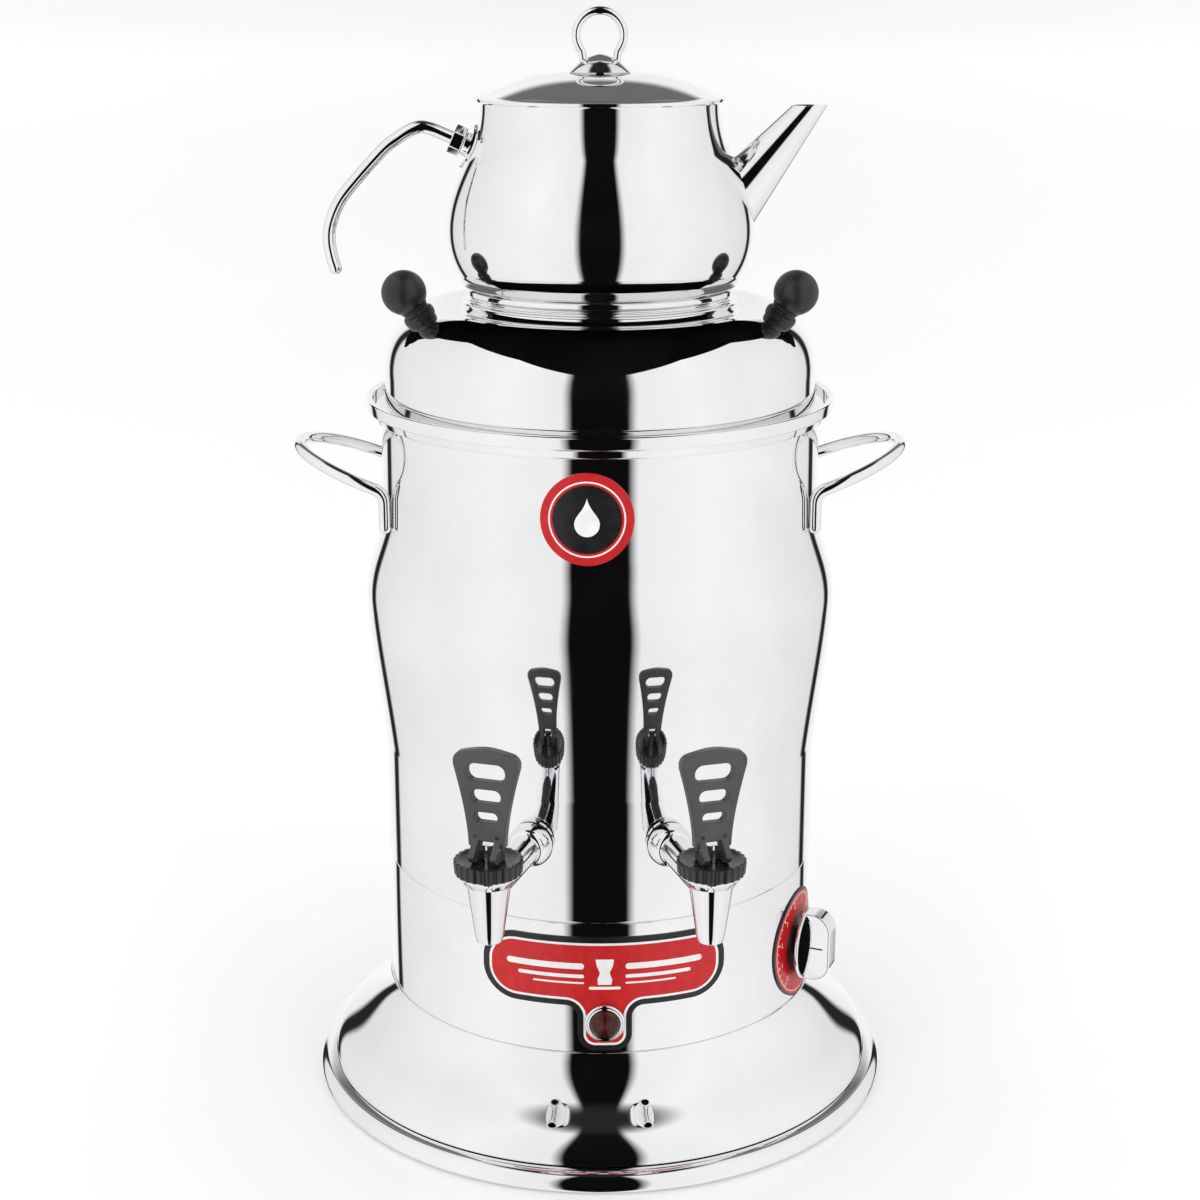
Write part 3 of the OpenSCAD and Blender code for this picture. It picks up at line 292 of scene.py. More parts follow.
def plate(loops, thickness, place=None, bevel=0.0, bend_every=0.0, steps=3, foot=0.0):
    """A flat plate standing on Z = foot, from its outline and holes in XY, with rounded edges.

    bend_every cuts it into strips along X, so that it can be bent.
    """
    bm = bmesh.new()
    edges = []
    for loop in loops:
        verts = [bm.verts.new((p[0], p[1], foot)) for p in loop]
        edges += [bm.edges.new((v, verts[(i + 1) % len(verts)])) for i, v in enumerate(verts)]
    filled = bmesh.ops.triangle_fill(bm, use_beauty=True, use_dissolve=False, edges=edges)["geom"]
    faces = [g for g in filled if isinstance(g, bmesh.types.BMFace)]
    if bend_every:
        left = min(v.co.x for v in bm.verts)
        right = max(v.co.x for v in bm.verts)
        for i in range(1, int((right - left) / bend_every) + 1):
            everything = bm.verts[:] + bm.edges[:] + bm.faces[:]
            cut = (left + i * bend_every, 0, 0)
            bmesh.ops.bisect_plane(bm, geom=everything, plane_co=cut, plane_no=(1, 0, 0), dist=1e-5)
        faces = bm.faces[:]
    extruded = bmesh.ops.extrude_face_region(bm, geom=faces, use_keep_orig=True)["geom"]
    top = [g for g in extruded if isinstance(g, bmesh.types.BMVert)]
    bmesh.ops.translate(bm, vec=(0, 0, thickness), verts=top)
    bmesh.ops.recalc_face_normals(bm, faces=bm.faces)
    if bevel:
        rim = [e for e in bm.edges if len(e.link_faces) == 2 and e.calc_face_angle() > radians(60)]
        bmesh.ops.bevel(bm, geom=rim, offset=bevel, segments=steps, profile=0.5, affect="EDGES")
    bmesh.ops.scale(bm, vec=(MM, MM, MM), verts=bm.verts)
    return finished(written(bm), place)


def wrapped(mesh, azimuth, centre_z, radius_of):
    """Bends a flat mesh round the urn: X goes along the wall, Y up, and Z out from it."""
    turn = radians(azimuth)
    side = Vector((cos(turn), sin(turn), 0))
    out = Vector((sin(turn), -cos(turn), 0))
    for vert in mesh.vertices:
        across, up, lift = vert.co / MM
        radius = radius_of(centre_z + up) + lift
        place = side * across + out * sqrt(radius * radius - across * across)
        vert.co = Vector((place.x, place.y, centre_z + up)) * MM
    return mesh


def joined(meshes):
    """Several meshes as one, each with its own material slots kept in order."""
    bm = bmesh.new()
    materials = []
    for mesh in meshes:
        base = len(materials)
        start = len(bm.faces)
        bm.from_mesh(mesh)
        bm.faces.ensure_lookup_table()
        for face in bm.faces[start:]:
            face.material_index += base
        materials += list(mesh.materials)
    result = written(bm)
    for material in materials:
        result.materials.append(material)
    for mesh in meshes:
        bpy.data.meshes.remove(mesh)
    return result


def painted(mesh, material):
    mesh.materials.clear()
    mesh.materials.append(material)
    return mesh


def placed(name, data):
    """A new object in the scene."""
    thing = bpy.data.objects.new(name, data)
    bpy.context.scene.collection.objects.link(thing)
    return thing


def piece(name, mesh, slot, node, material=None):
    """Puts a mesh in a node's place, on the node's body. An unpainted one gets its slot's finish."""
    if not mesh.materials:
        painted(mesh, material or SLOT_FINISHES[slot])
    mesh.name = name
    thing = placed(name, mesh)
    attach(thing, home(node))
    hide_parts(node)
    return thing


def even(thing):
    """Keeps the large flats of a bevelled piece flat to the eye."""
    weights = thing.modifiers.new("even", "WEIGHTED_NORMAL")
    weights.keep_sharp = True


def turn_z(angle):
    """A turn about the urn's axis, in degrees."""
    return Matrix.Rotation(radians(angle), 4, "Z")


def move(x, y, z):
    return Matrix.Translation(Vector((x, y, z)) * MM)


def outwards(z):
    """Takes what stands on XY to the front at height z, with +Z turned outwards."""
    return move(0, 0, z) @ Matrix.Rotation(radians(90), 4, "X")


# ---------------- materials

def wired(tree, kind, inputs, output, **settings):
    """Adds a shader node, with each input linked where it comes from a node and set where it is a value."""
    made = tree.nodes.new(kind)
    for key, value in settings.items():
        setattr(made, key, value)
    for socket, value in inputs.items():
        if isinstance(value, bpy.types.NodeSocket):
            tree.links.new(value, made.inputs[socket])
        else:
            made.inputs[socket].default_value = value
    return made.outputs[output]


def colour_ramp(tree, factor, stops):
    """A colour told by the factor, from stops of (place, colour)."""
    ramp = tree.nodes.new("ShaderNodeValToRGB")
    while len(ramp.color_ramp.elements) < len(stops):
        ramp.color_ramp.elements.new(0.5)
    for element, (at, colour) in zip(ramp.color_ramp.elements, stops):
        element.position = at
        element.color = (*colour, 1)
    tree.links.new(factor, ramp.inputs["Fac"])
    return ramp.outputs["Color"]


WEAR_WIDTH = 0.0006  # metres
WEAR_SHARE = 0.5
SMEAR = 14.0  # smears in a metal's polish, in waves a metre


def grey(level):
    return level, level, level


class Finish:
    """One procedural material: a Principled shader, with what varies over the surface linked into it."""

    def __init__(self, name, **constants):
        self.material = bpy.data.materials.new(name)
        self.material.use_nodes = True
        self.tree = self.material.node_tree
        self.shader = self.tree.nodes["Principled BSDF"]
        for socket, value in constants.items():
            self.shader.inputs[socket.replace("_", " ")].default_value = value

    def add(self, kind, inputs, output, **settings):
        return wired(self.tree, kind, inputs, output, **settings)

    def noise(self, scale, detail=3.0, stretch=(1, 1, 1), distortion=0.0):
        """Noise in the piece's own place, with scale in waves a metre."""
        place = self.add("ShaderNodeTexCoord", {}, "Object")
        stretched = self.add("ShaderNodeMapping", {"Vector": place, "Scale": stretch}, "Vector")
        return self.add("ShaderNodeTexNoise",
            {"Vector": stretched, "Scale": scale, "Detail": detail, "Distortion": distortion}, "Fac")

    def spread(self, factor, start, end, low=0.35, high=0.65):
        """A number that goes from start to end as the factor goes from low to high."""
        return self.add("ShaderNodeMapRange",
            {"Value": factor, "From Min": low, "From Max": high, "To Min": start, "To Max": end}, "Result")

    def tint(self, factor, dark, light):
        """A colour that goes from dark to light with the factor."""
        return colour_ramp(self.tree, factor, [(0.3, dark), (0.7, light)])

    def link(self, socket, value):
        self.tree.links.new(value, self.shader.inputs[socket])

    def surface(self, colour, shine, low, high, grain=None, relief=0.0):
        """Links the colour, a roughness from low to high, and a grain that stands that many metres proud."""
        self.link("Base Color", colour)
        self.link("Roughness", self.spread(shine, low, high))
        if grain is not None:
            bump = self.add("ShaderNodeBump", {"Height": grain, "Distance": relief}, "Normal")
            self.link("Normal", bump)
        return self.material

    def edge_wear(self, base, worn):
        """Mixes a worn colour in where the surface turns sharply."""
        soft = self.add("ShaderNodeBevel", {"Radius": WEAR_WIDTH}, "Normal", samples=4)
        true = self.add("ShaderNodeNewGeometry", {}, "Normal")
        alike = self.add("ShaderNodeVectorMath", {0: soft, 1: true}, "Value", operation="DOT_PRODUCT")
        share = self.spread(alike, WEAR_SHARE, 0.0, 0.86, 0.99)
        return self.add(
            "ShaderNodeMix", {"Factor": share, "A": base, "B": (*worn, 1)}, "Result", data_type="RGBA")


def metal(name, dark, light, smooth, rough, grain, relief, stretch=(1, 1, 1)):
    """Bare metal: colour that drifts a little, smears in its polish, and a fine grain."""
    f = Finish(name, Metallic=1.0)
    colour = f.tint(f.noise(SMEAR, 4.0, distortion=0.6), dark, light)
    return f.surface(colour, f.noise(SMEAR * 2.3, 6.0), smooth, rough, f.noise(grain, 3.0, stretch), relief)


def moulded(name, dark, light, smooth, rough, grain, relief, worn=None):
    """Moulded plastic or rubber with a fine grain, rubbed a little lighter along its edges."""
    f = Finish(name)
    colour = f.tint(f.noise(60.0, 4.0), dark, light)
    if worn:
        colour = f.edge_wear(colour, worn)
    return f.surface(colour, f.noise(140.0, 5.0), smooth, rough, f.noise(grain, 2.0), relief)


def printed(name, dark, light):
    """Ink under a thin clear coat, with a faint mottle."""
    f = Finish(name, Coat_Weight=0.25, Coat_Roughness=0.2, Specular_IOR_Level=0.3)
    colour = f.tint(f.noise(220.0, 4.0), dark, light)
    return f.surface(colour, f.noise(90.0, 4.0), 0.3, 0.42, f.noise(900.0, 2.0), 0.000004)


ROLLED = (1, 1, 26)  # polishing lines that run round a turned shell
MIRROR = metal(
    "mirror_steel", (0.86, 0.86, 0.87), (0.93, 0.93, 0.94), 0.012, 0.05, 30.0, 0.0000015, ROLLED)
CHROME = metal("chrome", (0.84, 0.84, 0.86), (0.92, 0.92, 0.94), 0.015, 0.06, 120.0, 0.000002)
SATIN = metal("satin_steel", (0.50, 0.50, 0.51), (0.66, 0.66, 0.67), 0.22, 0.38, 700.0, 0.00001, ROLLED)
ZINC = metal("zinc_plate", (0.46, 0.47, 0.49), (0.66, 0.67, 0.70), 0.25, 0.45, 900.0, 0.00002)
BRASS = metal("brass_nuts", (0.55, 0.38, 0.14), (0.74, 0.55, 0.24), 0.2, 0.4, 800.0, 0.00002)
COPPER = metal("copper_bulb", (0.62, 0.30, 0.17), (0.80, 0.43, 0.27), 0.18, 0.38, 600.0, 0.00002)
SHEATH = metal("element_sheath", (0.20, 0.19, 0.19), (0.42, 0.40, 0.38), 0.3, 0.5, 600.0, 0.00004)
BLACK = moulded(
    "black_plastic", (0.008, 0.008, 0.009), (0.016, 0.016, 0.017), 0.22, 0.34, 1600.0, 0.000006, grey(0.05))
CHARCOAL = moulded(
    "charcoal_plastic", (0.052, 0.052, 0.054), (0.070, 0.070, 0.073), 0.34, 0.46, 1500.0, 0.00001, grey(0.13))
BALL_BLACK = moulded(
    "ball_plastic", grey(0.010), (0.020, 0.020, 0.021), 0.3, 0.42, 1400.0, 0.000006, grey(0.04))
RUBBER = moulded("black_rubber", grey(0.012), grey(0.03), 0.6, 0.8, 900.0, 0.00003)
SILICONE = moulded("red_rubber", (0.35, 0.05, 0.035), (0.46, 0.08, 0.05), 0.45, 0.6, 900.0, 0.00002)
IVORY = moulded("ceramic", (0.72, 0.69, 0.60), (0.84, 0.81, 0.73), 0.3, 0.5, 500.0, 0.00002)
INK_RED = printed("red_ink", (0.50, 0.006, 0.008), (0.60, 0.012, 0.014))
INK_WHITE = printed("white_ink", grey(0.80), grey(0.90))
# The black print, which also paints shade at the dial's centre and in place of the grooves on the knob's
# flanks
INK_AND_SHADE_BLACK = printed("black_ink_and_shade", (0.006, 0.006, 0.008), (0.014, 0.014, 0.016))


def dark_lens():
    """Tinted clear plastic."""
    f = Finish("lamp_lens", Transmission_Weight=0.85, IOR=1.49)
    colour = f.tint(f.noise(300.0, 3.0), (0.1804, 0.0328, 0.0246), (0.22, 0.04, 0.03))
    return f.surface(colour, f.noise(500.0, 3.0), 0.05, 0.13, f.noise(1500.0, 2.0), 0.000006)


SLOT_FINISHES = {"chromed": CHROME, "lens": dark_lens()}


def steel(name, mesh, node, material=MIRROR):
    piece(name, mesh, "polished_steel", node, material)


# ---------------- base

foot_r, foot_z = high("base_rim").x, low("base_rim").z
ledge_top = low("base_skirt").z
skirt_foot_r = high("base_skirt").x
drum_z, drum_top = low("base_drum").z, high("base_drum").z
drum_r = high("base_drum").x
skirt_top_r = drum_r + 1
skirt_h = drum_z - ledge_top


def drum_at(z):
    return drum_r - DRUM_DRAFT * (z - drum_z) / (drum_top - drum_z)


def base():
    """The foot ring, the flared skirt and the drum under the tank."""
    roll = arc((foot_r - ROLL_R, foot_z + ROLL_R), ROLL_R, -90, 0, 16)
    wall = cubic((foot_r, foot_z + ROLL_R + 0.4), (foot_r, foot_z + 0.55 * (ledge_top - foot_z)),
        (foot_r - 1.8, ledge_top - 2), (foot_r - 4.1, ledge_top - 0.9), 32)
    inner_r = foot_r - RIM_W
    rim = [(inner_r, foot_z)] + roll + wall + [
        (skirt_foot_r + 0.4, ledge_top), (inner_r - LEDGE_W, ledge_top)]
    steel("foot_ring", turned(sheet_of(rim, SHEET)), "base_rim")

    line = cubic(
        (skirt_foot_r, ledge_top + SHEET),
        (skirt_foot_r - 1, ledge_top + 0.39 * skirt_h),
        (skirt_top_r + 1.8, ledge_top + 0.45 * skirt_h),
        (skirt_top_r, drum_z - 0.7), 64)
    collar_in = drum_r - 2.3 * SHEET
    outer = [(skirt_foot_r, ledge_top + 0.6 * SHEET)] + line
    crest = rounded([(skirt_top_r, drum_z - 0.7), (skirt_top_r, drum_z, 0.6), (collar_in, drum_z),
        (collar_in, drum_z - SHEET)], closed=False)[1:]
    skirt = outer + crest + beside(outer, SHEET)[::-1]
    steel("flared_skirt", turned(skirt), "base_skirt")

    top_r = drum_at(drum_top)
    brim_r = top_r - 12
    wall = rounded([
        (drum_r, drum_z + 0.05, 0.3), (top_r, drum_top - 0.1, 0.9), (brim_r, drum_top - 0.1),
        (brim_r, drum_top - SHEET), (top_r - SHEET, drum_top - SHEET), (drum_r - SHEET, drum_z + 0.05)])
    steel("drum_wall", turned(wall), "base_drum")


# ---------------- tank, rim and handles

tank_bottom, neck_top = low("tank_shell").z, high("tank_shell").z
belly_r = high("tank_shell").x
gutter_z = low("lid_shell").z
tank_r = belly_r - 8.9
kink_z = tank_bottom + 67
belly_z = kink_z + 83
neck_z = belly_z + 46
neck_r = high("tank_rim").x - 10.5 + 3.2


def tank_profile():
    """The tank's outer face from its seam up to its neck."""
    neck = [Vector((neck_r, neck_z + 14)), Vector((neck_r - 0.4, neck_top))]
    belly = cubic(
        (tank_r, kink_z), (tank_r + 3.6, kink_z + 31), (belly_r, belly_z - 20), (belly_r, belly_z), 48)
    shoulder = cubic(
        (belly_r, belly_z), (belly_r, belly_z + 20), (neck_r + 0.5, neck_z - 14), (neck_r + 0.2, neck_z), 40)
    return ([Vector((tank_r - 10, tank_bottom))]
        + arc((tank_r - SEAM_R, tank_bottom + SEAM_R), SEAM_R, -90, 0, 8)
        + belly + shoulder[1:] + neck)


tank_line = tank_profile()


def neck_at(z):
    return radius_at(tank_line, z)


def tank():
    """The tank's wall and the gutter rim that the lid stands in."""
    steel("tank_wall", turned(sheet_of(tank_line, SHEET)), "tank_shell")
    lip_r, lip_z = high("tank_rim").x, high("tank_rim").z
    fill_r = 110.0
    rim = rounded([
        (fill_r, gutter_z - 1.2, 0.5), (neck_r - 2.6, gutter_z - 1.2, 0.6), (neck_r - 2.6, neck_top - 8),
        (neck_r - 1.5, neck_top - 8), (neck_r - 1.5, neck_top), (neck_r + 1, neck_top, 0.5),
        (lip_r - 4.4, neck_top + 0.8, 1.2), (lip_r - 2.8, gutter_z + 0.3, 0.8), (lip_r, gutter_z + 0.8, 0.9),
        (lip_r, lip_z - 0.4, 1.5), (lip_r - 3.2, lip_z, 1.4), (lip_r - 4.1, gutter_z, 1.2),
        (fill_r, gutter_z, 0.5)])
    steel("gutter_rim", turned(rim), "tank_rim")


def side_handle(side, node):
    """The bent rod of one side handle, along the same route as its node."""
    rod_r = 3.25
    half_w, bend_r, reach = 44.0, 8.0, 45.0
    leg_r = neck_r + 0.25 + rod_r
    leg_x = sqrt(leg_r**2 - half_w**2)
    lean = degrees(atan(HANDLE_SLOPE))
    bend_z = neck_top - 32 - bend_r
    bend, bend_steps, loop_step = [], 12, 3
    for k in range(bend_steps + 1):
        turn = radians((90 - lean) * k / bend_steps)
        bend.append((leg_x + bend_r * (1 - cos(turn)), -half_w, bend_z + bend_r * sin(turn)))
    start = bend[-1]
    out = neck_r + reach - start[0]
    loop = []
    for angle in range(loop_step, 180, loop_step):
        turn = radians(angle)
        loop.append((start[0] + out * sin(turn), -half_w * cos(turn),
            start[2] + HANDLE_SLOPE * out * sin(turn)))
    half = [(leg_x, -half_w, neck_z)] + bend
    other = [(x, -y, z) for x, y, z in half[::-1]]
    route = [(side * x, y, z) for x, y, z in half + loop + other]
    steel(f"{node}_rod", swept(route, rod_r, ends=(True, True)), node, CHROME)


# ---------------- lid and its ball knobs

lid_r = high("lid_shell").x
collar_z = high("lid_shell").z
lid_top_r, collar_r, steam_r = 89.0, 74.2, 63.0
lid_round_z = gutter_z + 20
lid_top_z = lid_round_z + 36
lid_dip_z = lid_top_z - 2.6


def lid_profile():
    shoulder = cubic((lid_r, lid_round_z), (lid_r, lid_round_z + 23), (lid_top_r + 13, lid_top_z - 0.3),
        (lid_top_r, lid_top_z), 56)
    dip = cubic((lid_top_r - 1.5, lid_top_z), (lid_top_r - 6, lid_top_z), (collar_r + 6, lid_dip_z),
        (collar_r + 1.2, lid_dip_z), 20)
    collar = rounded([(collar_r + 1.2, lid_dip_z), (collar_r, lid_dip_z, 0.8), (collar_r, collar_z, 1.3),
        (steam_r, collar_z, 1.4), (steam_r, collar_z - 4)], closed=False)
    return [Vector((lid_r, gutter_z))] + shoulder + dip + collar[1:]


lid_line = lid_profile()


def lid():
    """The domed lid and its two ball knobs, each on a barrel."""
    steel("lid_dome", turned(sheet_of(lid_line, SHEET)), "lid_shell")
    shoulder = [q for q in lid_line if q.y > lid_round_z + 5 and q.x > collar_r + 2]
    seat_z = next(a.y + (b.y - a.y) * (a.x - BALL_SEAT_R) / (a.x - b.x)
        for a, b in zip(shoulder, shoulder[1:]) if b.x <= BALL_SEAT_R <= a.x)
    # The barrel's radius and height, and the radius of the screw's hole through it
    r, h, hole_r = 8.8, 4.6, 2.0
    barrel = rounded([(hole_r, -3.0), (r - 2.6, -3.0, 1.2), (r - 0.5, -0.6, 2.0), (r, h / 2, 4),
        (r - 0.5, h - 1, 0.8), (r - 1.8, h, 0.3), (hole_r, h)])
    centre, bore_top = h + BALL_R + 0.2, h + 9
    # A groove parts the neck from the flange under the ball
    neck = rounded([(r - 1.8, h), (r - 1.8, h + 1.1, 0.3), (r - 2.5, h + 1.6, 0.3), (r - 1.2, h + 2, 0.3),
        (r - 1.2, h + 2.9)], closed=False)
    root = degrees(asin((neck[-1].y - centre) / BALL_R))
    bore = [(0, bore_top), (hole_r, bore_top), (hole_r, h)]
    ball = bore + neck + arc((0, centre), BALL_R, root, 90, 48)
    seat = move(0, -BALL_SEAT_R, seat_z) @ Matrix.Rotation(radians(BALL_LEAN), 4, "X")
    for name, outline in (("barrels", barrel), ("balls", ball)):
        pair = [turned(outline, turn_z(side * BALL_AZ) @ seat, 96) for side in (-1, 1)]
        piece(name, joined(pair), "black_plastic", f"knob_{name}", BALL_BLACK)


# ---------------- teapot

pot_z, pot_rim_z = low("pot_body").z, high("pot_body").z
pot_belly_r = high("pot_body").x
pot_base_r = high("pot_base").x
pot_belly_z = pot_z + 28.5
pot_root_z = pot_belly_z + 42
pot_root_r, pot_mouth_r = 69.3, 63.7


def pot_profile():
    lower = cubic((pot_base_r + 2, pot_z + 0.8), (pot_base_r + 6.6, pot_z + 8),
        (pot_belly_r, pot_belly_z - 12), (pot_belly_r, pot_belly_z), 40)
    shoulder = cubic((pot_belly_r, pot_belly_z), (pot_belly_r, pot_belly_z + 16),
        (pot_root_r + 5.4, pot_root_z - 10.5), (pot_root_r, pot_root_z), 44)
    neck = cubic((pot_root_r, pot_root_z), (pot_root_r - 3.6, pot_root_z + 7.0),
        (pot_mouth_r, pot_rim_z - 10), (pot_mouth_r, pot_rim_z - 2), 28)
    lip = rounded([(pot_mouth_r, pot_rim_z - 2), (pot_mouth_r, pot_rim_z, 1.3),
        (pot_mouth_r + 2.6, pot_rim_z)], closed=False)
    foot = [Vector((0, pot_z)), Vector((pot_base_r + 1, pot_z))]
    return foot + lower + shoulder[1:] + neck[1:] + lip[1:]


pot_line = pot_profile()


def pot_at(z):
    return radius_at(pot_line[1:], z)


def teapot():
    steel("pot_wall", turned(sheet_of(pot_line, POT_SHEET)), "pot_body")
    r = pot_base_r
    foot = rounded([
        (0, collar_z), (r - 0.6, collar_z, 0.4), (r, collar_z + 1.3, 0.7), (r - 1.2, collar_z + 2.3, 0.5),
        (r, collar_z + 3.4, 0.7), (r, pot_z - 1.6, 0.8), (r - 1.2, pot_z, 0.3), (0, pot_z)])
    steel("sandwich_base", turned(foot), "pot_base")
    spout()
    pot_handle()


def spout():
    """A truncated cone that starts at the belly and is cut level at its mouth."""
    mouth_r, reach = 7.3, 111.6
    cut_z = pot_rim_z - 2.5
    rise, taper = radians(SPOUT_RISE), tan(radians(SPOUT_HALF))
    axis = Vector((cos(rise), 0, sin(rise)))
    side = Vector((0, 1, 0))
    over = axis.cross(side)
    sides, steps, halvings = 96, 24, 40

    def on_cone(turn, along, radius):
        return (Vector((reach, 0, cut_z)) + axis * along
            + (radius - along * taper) * (cos(turn) * side + sin(turn) * over))

    def where(turn, radius, reached):
        """How far along the cone a condition first holds, by halving."""
        near, far = -75.0, 25.0
        for _ in range(halvings):
            mid = (near + far) / 2
            near, far = (near, mid) if reached(on_cone(turn, mid, radius)) else (mid, far)
        return far

    def outside_pot(p):
        return hypot(p.x, p.y) > pot_at(min(p.z, pot_rim_z)) - 0.4

    def above_cut(p):
        return p.z > cut_z

    points = []
    for radius, order in ((mouth_r, range(steps + 1)), (mouth_r - POT_SHEET, range(steps, -1, -1))):
        for i in order:
            for k in range(sides):
                turn = 2 * pi * k / sides
                start, end = where(turn, radius, outside_pot), where(turn, radius, above_cut)
                points.append(on_cone(turn, start + (end - start) * i / steps, radius))
    faces = bridged(rings_of(points, sides))
    steel("spout_cone", mesh_of(points, faces), "pot_spout")


def pot_handle():
    rise = radians(POT_HANDLE_RISE)
    root = Vector((-(pot_root_r - 0.5), 0, pot_root_z + 2.2))
    bends = [(14.5, 6.4), (20.5, 8.8), (26, 9.8), (31.5, 8.2), (38, 4.2), (46, -1.8), (60.5, -17.2),
        (70, -29), (75.2, -41), (76.2, -50), (74.9, -58.5), (73.2, -64.5)]
    flat = [(4 * cos(rise), 4 * sin(rise))] + bends
    route = [root + Vector((-x, 0, z)) for x, z in flat]
    rod_r = 3.5
    rod = swept(through(route, 12), rod_r, ends=(False, True))
    steel("pot_handle_rod", rod, "pot_handle", CHROME)

    along = move(*root) @ Matrix.Rotation(rise - radians(90), 4, "Y")
    nut_r, nut_t = 8, 6.5
    nut = plate([circle(nut_r, 6), circle(rod_r + RUNNING_FIT, 24)], nut_t, along @ move(0, 0, 4), bevel=0.6)
    even(piece("hex_nut", nut, "chromed", "handle_nut"))

    disc_r, disc_t = 12.5, 1.2
    disc = plate([circle(disc_r)], disc_t, bend_every=1.0)
    for vert in disc.vertices:
        across, up, lift = vert.co / MM
        height = root.z + up * cos(rise)
        radius = pot_at(height) + RUNNING_FIT + lift
        vert.co = Vector((-sqrt(radius**2 - across**2), across, height)) * MM
    boss = turned(rounded([(0, -1), (6.5, -1), (6.5, 4, 1.0), (0, 4)]), along, 64)
    steel("bracket_disc", joined([finished(disc), boss]), "handle_bracket", CHROME)


def pot_lid():
    brim_r, crown_z = high("pot_lid").x, high("pot_lid").z
    brim_z = pot_rim_z + POT_SHEET
    brim_top = brim_z + POT_SHEET
    plug_r = pot_mouth_r - POT_SHEET - 0.9
    cap_r, cap_h = high("lid_cap").x, high("lid_cap").z - low("lid_cap").z
    crown = cubic((plug_r - 1, brim_top + 0.6), (plug_r - 6, brim_top + 4), (cap_r + 21, crown_z),
        (cap_r + 1, crown_z), 56)
    brim = rounded([(brim_r, brim_top), (plug_r + 0.6, brim_top, 1.0), crown[0][:]], closed=False)
    line = brim[:-1] + crown + [(2, crown_z)]
    plug = rounded([(plug_r - POT_SHEET, brim_z - 6, 0.3), (plug_r, brim_z - 6, 0.3),
        (plug_r, brim_z + 0.4), (plug_r - POT_SHEET, brim_z + 0.4)])
    shell = joined([turned(sheet_of(line, POT_SHEET)), turned(plug)])
    steel("pot_lid_crown", shell, "pot_lid")

    dome = cubic((cap_r, crown_z + 0.7), (cap_r - 3.8, crown_z + 4.8), (8, crown_z + cap_h - 1.2),
        (0, crown_z + cap_h), 32)
    cap = rounded([(0, crown_z + 0.02), (cap_r - 0.9, crown_z + 0.02, 0.3), dome[0][:]], closed=False)
    piece("cap_dome", turned(cap + dome[1:], steps=128), "chromed", "lid_cap")

    rod_r = 2.2
    ring_r = high("lid_ring").x - rod_r
    ring_z = high("lid_ring").z - rod_r - ring_r
    past = 40  # degrees that the ring goes on below its middle
    loop = [Vector((q.x, 0, q.y)) for q in arc((0, ring_z), ring_r, -past, 180 + past, 96)]
    foot = Vector((loop[0].x - 1.4, 0, crown_z + 2.0))
    route = [foot] + loop + [Vector((-foot.x, 0, foot.z))]
    piece("wire_ring", swept(route, rod_r), "chromed", "lid_ring")


# ---------------- taps

tap_low, tap_high = low("left_tap_body"), high("left_tap_body")
spigot_h = 3.5
bowl_top = tap_high.z - spigot_h
tap_z = bowl_top - 10
outlet_z = tap_low.z
bonnet_top = high("tap_bonnets").z
valve_reach = 186.0
seal_t = 1.0
bowl_r, outlet_r, tube_r, escutcheon_r = 15.5, 7.0, 7.5, 12.0
pivot_z = middle("left_pin")[0]


def tap(side, name):
    """One tap's plated body: a domed flange on the wall, a tube, and the bowl with its spout."""
    at = turn_z(side * TAP_AZ)
    wall_r = tank_r + seal_t
    tube_end = valve_reach - 6
    dome = [(0, wall_r), (escutcheon_r - 0.7, wall_r)]
    dome += [(tube_r - 0.3 + (escutcheon_r - tube_r + 0.3) * cos(radians(a)),
        wall_r + 0.8 + 8.6 * sin(radians(a))) for a in range(0, 81, 4)]
    dome += [(tube_r + 0.3, wall_r + 9.8), (tube_r, wall_r + 10.6), (tube_r, tube_end), (0, tube_end)]
    arm = turned(dome, at @ outwards(tap_z), 96)
    bowl_z = tap_z + 4.5
    passage_r = 4.8
    bowl = rounded([
        (passage_r, outlet_z + 22), (passage_r, outlet_z, 0.4), (outlet_r - 0.6, outlet_z, 0.8),
        (outlet_r + 0.3, outlet_z + 3.5, 3), (outlet_r + 4.3, bowl_z, 0.5),
        (outlet_r + 5.4, bowl_z + 0.2, 0.5), (bowl_r - 0.9, bowl_top - 2.2, 1.2),
        (bowl_r, bowl_top - 0.8, 0.5), (bowl_r, bowl_top, 0.3),
        (12, bowl_top), (12, bowl_top + spigot_h), (9, bowl_top + spigot_h), (9, outlet_z + 22)])
    spout_and_bowl = turned(bowl, at @ move(0, -valve_reach, 0), 128)
    piece(f"{name}_plated", joined([arm, spout_and_bowl]), "chromed", f"{name}_body")


